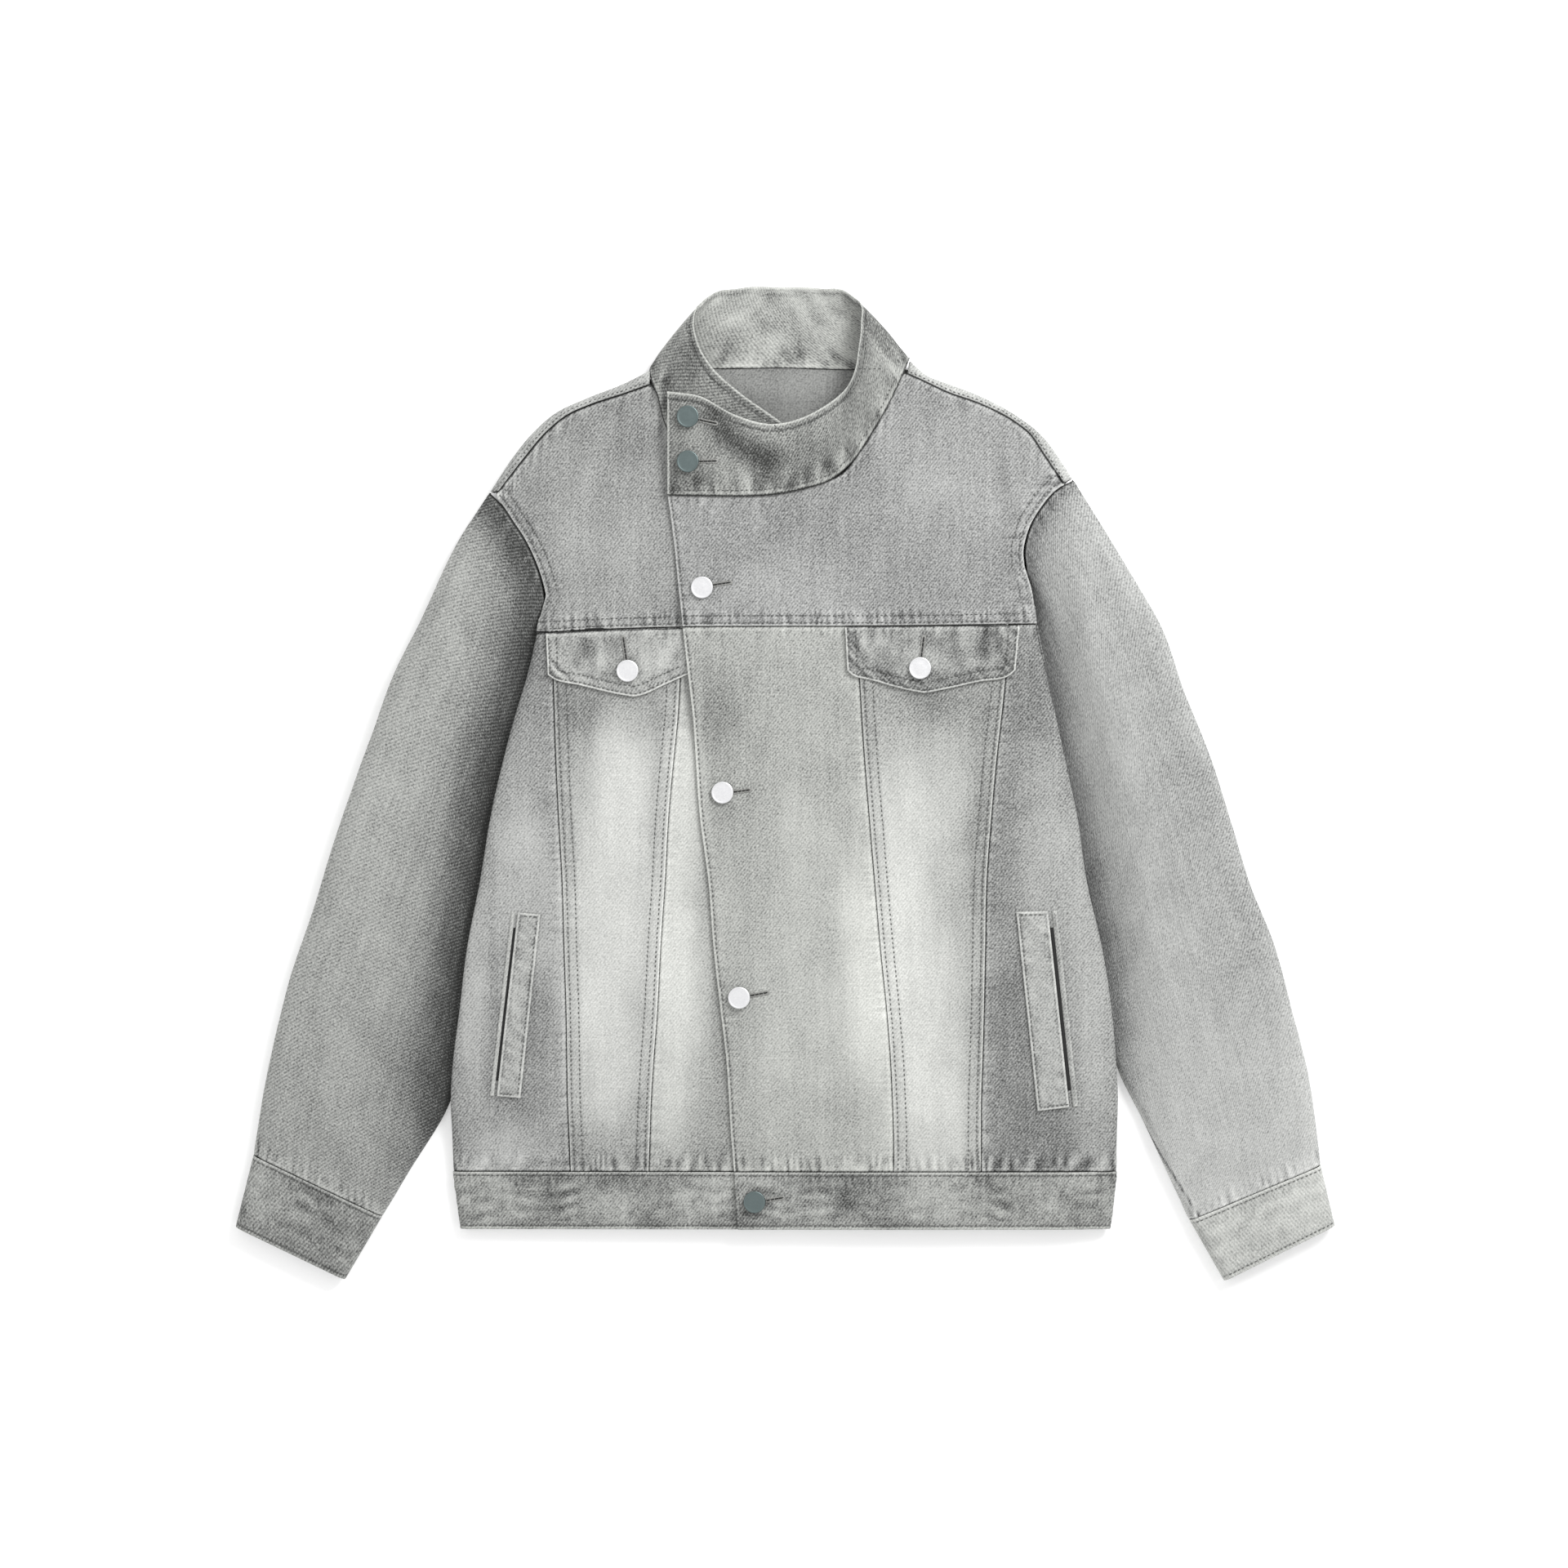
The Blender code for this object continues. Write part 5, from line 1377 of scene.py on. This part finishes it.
def welt(side):
    """A sewn box round a slanted slit: the welt, a narrow lip on the slit's far side, and a black sheet in the
    slit, painted shade inside the pocket's opening.
    """
    spec = WELTS[side]
    top, bottom = np.array(spec["top"], float), np.array(spec["bottom"], float)
    box_width, box_length = length_of(top), length_of((bottom[0], top[0]))
    verts, faces, uvs, fade, dark, rank = [], [], [], [], [], []

    def strip(low, high, kinds, material, lift, roll):
        """A strip between two shares of the box's width, from its bottom to its top."""
        wide = abs(high - low) * box_width
        across = shares(wide, 2.2, kinds[0], kinds[1])
        up = shares(WELT_LENGTH, 2.2, "flap" if kinds[2] else "hidden", "flap" if kinds[2] else "hidden")
        margin = 0.0 if kinds[2] else 0.085
        lengths = margin + (1 - 2 * margin) * up
        at = low + (high - low) * across
        a = bottom[0] + (top[0] - bottom[0]) * lengths[:, None]
        b = bottom[1] + (top[1] - bottom[1]) * lengths[:, None]
        plan = a[:, None] + (b - a)[:, None] * at[None, :, None]
        x, y = plan[..., 0], plan[..., 1]
        z = front_height(x, y, spec["over"]) + lift
        from_low, from_high = across[None] * wide + 0 * x, (1 - across[None]) * wide + 0 * x
        from_ends = np.minimum(up, 1 - up)[:, None] * WELT_LENGTH + 0 * x
        near = np.minimum(from_low, from_high) if roll == "both" else from_low
        if kinds[2]:
            near = np.minimum(near, from_ends)
        ripple = noise(x + y, y, 5.0, 251, 1.2)
        if material == 0:
            z = z - 0.8 * (1 - quarter(near)) - 0.25 * bell(near - 2.4, 0.8)
            z = z + 0.25 * ripple * bell(near - 4, 4)
        first = len(verts)
        rows, cols = x.shape
        verts.extend((np.stack([x, y, z], axis=-1).reshape(-1, 3) * MM).tolist())
        uvs.extend(np.stack([x, y], axis=-1).reshape(-1, 2).tolist())
        fade.extend((0.40 + 0.20 * bell(near - 0.8, 1.0) + 0.12 * ripple * bell(near - 4, 5)).ravel().tolist())
        dark.extend((0.3 * bell(near - 2.4, 0.6) * (material == 0)).ravel().tolist())
        index = first + np.arange(rows * cols).reshape(rows, cols)
        quads = faces_of(index)
        faces.extend((quads[:, ::-1] if side == "right" else quads).tolist())
        rank.extend([material] * ((rows - 1) * (cols - 1)))

    strip(0.22, 1.0, ("flap", "flap", True), 0, 2.2, "both")
    strip(0.0, 0.13, ("hidden", "hidden", True), 0, 1.5, "both")
    # The slit: a black sheet, painted shade inside the pocket's opening.
    strip(0.10, 0.27, ("hidden", "hidden", False), 2, 0.35, "none")
    values = {"fade": np.array(fade), "dark": np.array(dark), "cool": np.full(len(verts), 0.5)}
    obj = make_mesh(f"welt_{side}", verts, faces, np.array(uvs), values, 0.9,
                    ("denim", "denim_reverse", "slit"))
    obj.data.polygons.foreach_set("material_index", rank)
    obj.modifiers["wall"].material_offset = 0
    TREES[f"welt_{side}"] = BVHTree.FromPolygons(verts, faces)
    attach(obj, "root")
    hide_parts(f"welt_{side}")


# ---------------------------------------------------------------- buttons

BUTTON_PROFILE = (  # radius and height of the turned cap
    (4.0, -0.4), (4.0, 1.0), (7.6, 1.2), (8.3, 1.5), (8.6, 2.1), (8.55, 2.6), (8.2, 2.95), (7.7, 3.0),
    (7.3, 2.85), (6.9, 2.8), (4.0, 2.95), (1.6, 3.0),
)
SEGMENTS = 56


def button(name, x, y, finish):
    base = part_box(name)[0][2] / MM
    verts, faces = [], []
    for radius, height in BUTTON_PROFILE:
        for k in range(SEGMENTS):
            a = 2 * math.pi * k / SEGMENTS
            out_x, out_y = x + radius * math.cos(a), y + radius * math.sin(a)
            verts.append((out_x * MM, out_y * MM, (base + height) * MM))
    rings = len(BUTTON_PROFILE)
    for r in range(rings - 1):
        for k in range(SEGMENTS):
            n = (k + 1) % SEGMENTS
            faces.append((r * SEGMENTS + k, r * SEGMENTS + n, (r + 1) * SEGMENTS + n, (r + 1) * SEGMENTS + k))
    faces.append(tuple(range(SEGMENTS))[::-1])
    faces.append(tuple((rings - 1) * SEGMENTS + k for k in range(SEGMENTS)))
    obj = make_mesh(name.replace("button", "cap"), verts, faces, None, {}, 0, (finish,))
    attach(obj, "root")
    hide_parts(name)


# ---------------------------------------------------------------- sewing it

def sew_all():
    for seam, piece, sign in (("seam_a", "front_middle_left", 1), ("seam_b", "front_middle_left", -1),
                              ("seam_c", "front_middle_right", 1), ("seam_d", "front_middle_right", -1)):
        for row in EDGES["felled"]["rows"]:
            sew(piece, offset(body_line(seam), sign * row), seed=len(seam) + int(row))
    sew("front_centre_over", offset(body_line("placket"), 2.6), seed=3)
    sew("front_yoke_over", offset(curve(PLACKET_TOP), 2.6), seed=4)
    for row in EDGES["yoke"]["rows"]:
        sew("front_yoke_under", offset(yoke_between(-193, -84), -row), seed=5)
        sew("front_yoke_over", offset(yoke_between(-79, 195), -row), seed=6)
    for row in EDGES["arm"]["rows"]:
        sew("front_yoke_under", offset(curve(LEFT_ARMHOLE), row), seed=7)
        sew("front_yoke_over", offset(curve(RIGHT_ARMHOLE), -row), seed=8)
    sew("back_yoke", offset(curve(LEFT_SHOULDER), -2.4), seed=9)
    sew("back_yoke", offset(curve(RIGHT_SHOULDER), -2.2), seed=10)
    for row in HEM_STITCHES:
        left, right, lap = hem_ends(row)
        sew("hem_band", curve(((left + 2, HEM_Y + row), (lap - 2, HEM_Y + row))), seed=11)
        sew("hem_band", curve(((lap + 2.5, HEM_Y + row), (right - 2, HEM_Y + row))), seed=12)
    sew("hem_band", curve(((-34.4, -347), (-37.4, -308))), seed=13)
    for side in SLEEVES:
        seam, end, tall = cuff_ends(side)
        for at in (2.9, tall - 3.0):
            a, b = seam + (end - seam) * at / tall
            sew(f"cuff_{side}", curve((a, b)), seed=14)
    table = np.array(COLLAR, float)
    neck_over, rim_over = curve(table[:10, :2]), curve(table[:10, 3:5])
    sew("collar", offset(neck_over, -3.0), seed=15)
    sew("collar", offset(rim_over, 5.6), seed=16)
    sew("collar", offset(curve(table[15:, 3:5]), 5.6), seed=17)
    sew("collar", offset(curve(table[12:15, :2]), -3.0), seed=18)
    sew("collar", curve(((-89.2, 229), (-89.2, 300))), seed=19)
    for side, spec in FLAPS.items():
        bottom, top = curve(spec["bottom"]), curve(spec["top"])
        for row in EDGES["flap"]["rows"]:
            edge = [bottom] if side == "left" else [bottom, curve((bottom[-1], top[-1]))[1:]]
            line = np.concatenate([curve((top[0], bottom[0]))[:-1], *edge])
            sew(f"flap_{side}", offset(line, -row)[1:-1], seed=20 + int(row))
    for side, spec in WELTS.items():
        a, b = np.array(spec["bottom"], float)
        d, c = np.array(spec["top"], float)
        inward = 2.4
        way = (b - a) / np.linalg.norm(b - a)
        up = (d - a) / np.linalg.norm(d - a)
        a2, b2 = a + way * 7.3 + up * inward, b - way * inward + up * inward
        c2, d2 = c - way * inward - up * inward, d + way * 7.3 - up * inward
        for p, q in ((a2, b2), (b2, c2), (c2, d2)):
            sew(f"welt_{side}", curve((p, q)), spare=0.4, seed=23)
    for piece, start, end in BUTTONHOLES:
        sew_buttonhole(piece, start, end, int(start[1]) % 50)
    for row in (3.2, 9.8):
        for sign in (-1, 1):
            low = (sign * (BACK_SEAM_HEM - row), HEM_SEAM_Y + 2)
            high = (sign * (BACK_SEAM_TOP - row), BACK_YOKE_Y - 2)
            sew("back_centre", curve((low, high)), below=True, seed=30)
        sew("back_yoke", curve(((-198, BACK_YOKE_Y + row), (196, BACK_YOKE_Y + row))), below=True, seed=31)


# ---------------------------------------------------------------- stage, light and camera

FLOOR_HALF, FLOOR_Z = 6.0, -0.0004
CAMERA_LENS, CAMERA_SENSOR = 85.0, 36.0
VIEW_WIDTH, VIEW_PLANE = 1.2288, 0.010  # what the picture spans, and at what height


def stage():
    data = bpy.data.meshes.new("floor")
    corners = ((-1, -1), (1, -1), (1, 1), (-1, 1))
    data.from_pydata([(a * FLOOR_HALF, b * FLOOR_HALF, FLOOR_Z) for a, b in corners], [], [(0, 1, 2, 3)])
    data.materials.append(MATERIALS["floor"])
    floor = bpy.data.objects.new("floor", data)
    bpy.context.scene.collection.objects.link(floor)
    world = bpy.data.worlds.new("studio")
    bpy.context.scene.world = world
    world.use_nodes = True
    background = world.node_tree.nodes["Background"]
    background.inputs["Color"].default_value = (1.0, 1.0, 1.0, 1.0)
    background.inputs["Strength"].default_value = 0.80
    for name, place, size, power, aim in (
        ("key", (1.15, 1.35, 1.45), 0.9, 38.0, (0.05, 0.0, 0.0)),
        ("fill", (-1.5, -0.6, 1.9), 1.8, 5.0, (0.0, 0.0, 0.0)),
    ):
        lamp = bpy.data.lights.new(name, "AREA")
        lamp.size, lamp.energy = size, power
        obj = bpy.data.objects.new(name, lamp)
        bpy.context.scene.collection.objects.link(obj)
        obj.location = place
        obj.rotation_euler = (Vector(aim) - Vector(place)).to_track_quat("-Z", "Y").to_euler()
    bpy.context.scene.view_settings.view_transform = "Standard"
    camera = bpy.data.cameras.new("camera")
    camera.lens, camera.sensor_width = CAMERA_LENS, CAMERA_SENSOR
    eye = bpy.data.objects.new("camera", camera)
    bpy.context.scene.collection.objects.link(eye)
    high = VIEW_PLANE + VIEW_WIDTH / 2 / math.tan(math.atan(CAMERA_SENSOR / 2 / CAMERA_LENS))
    eye.location = (-0.00096, -0.00128, high)
    eye.rotation_euler = (0.0, 0.0, 0.0)
    bpy.context.scene.camera = eye


def main():
    denim_material("denim")
    denim_material("denim_reverse", reverse=True)
    thread_material("thread", (0.12, 0.122, 0.118))
    thread_material("thread_pale", (0.34, 0.34, 0.325))
    metal_material("button_silver", (0.93, 0.93, 0.96), 0.30)
    metal_material("button_grey", (0.165, 0.205, 0.205), 0.30)
    # slit: black, the painted shade inside the pockets' and the buttonholes' openings
    plain_material("slit", (0.02, 0.02, 0.02), 0.95)
    plain_material("floor", (0.93, 0.93, 0.93), 0.9, glow=0.22)
    backs()
    back_yoke()
    lower_fronts()
    yokes()
    hem_band()
    for side in SLEEVES:
        sleeve(side)
        cuff(side)
        flap(side)
        welt(side)
    collar()
    for name, x, y, finish in BUTTONS:
        button(name, x, y, finish)
    sew_all()
    add_stitches()
    stage()


main()
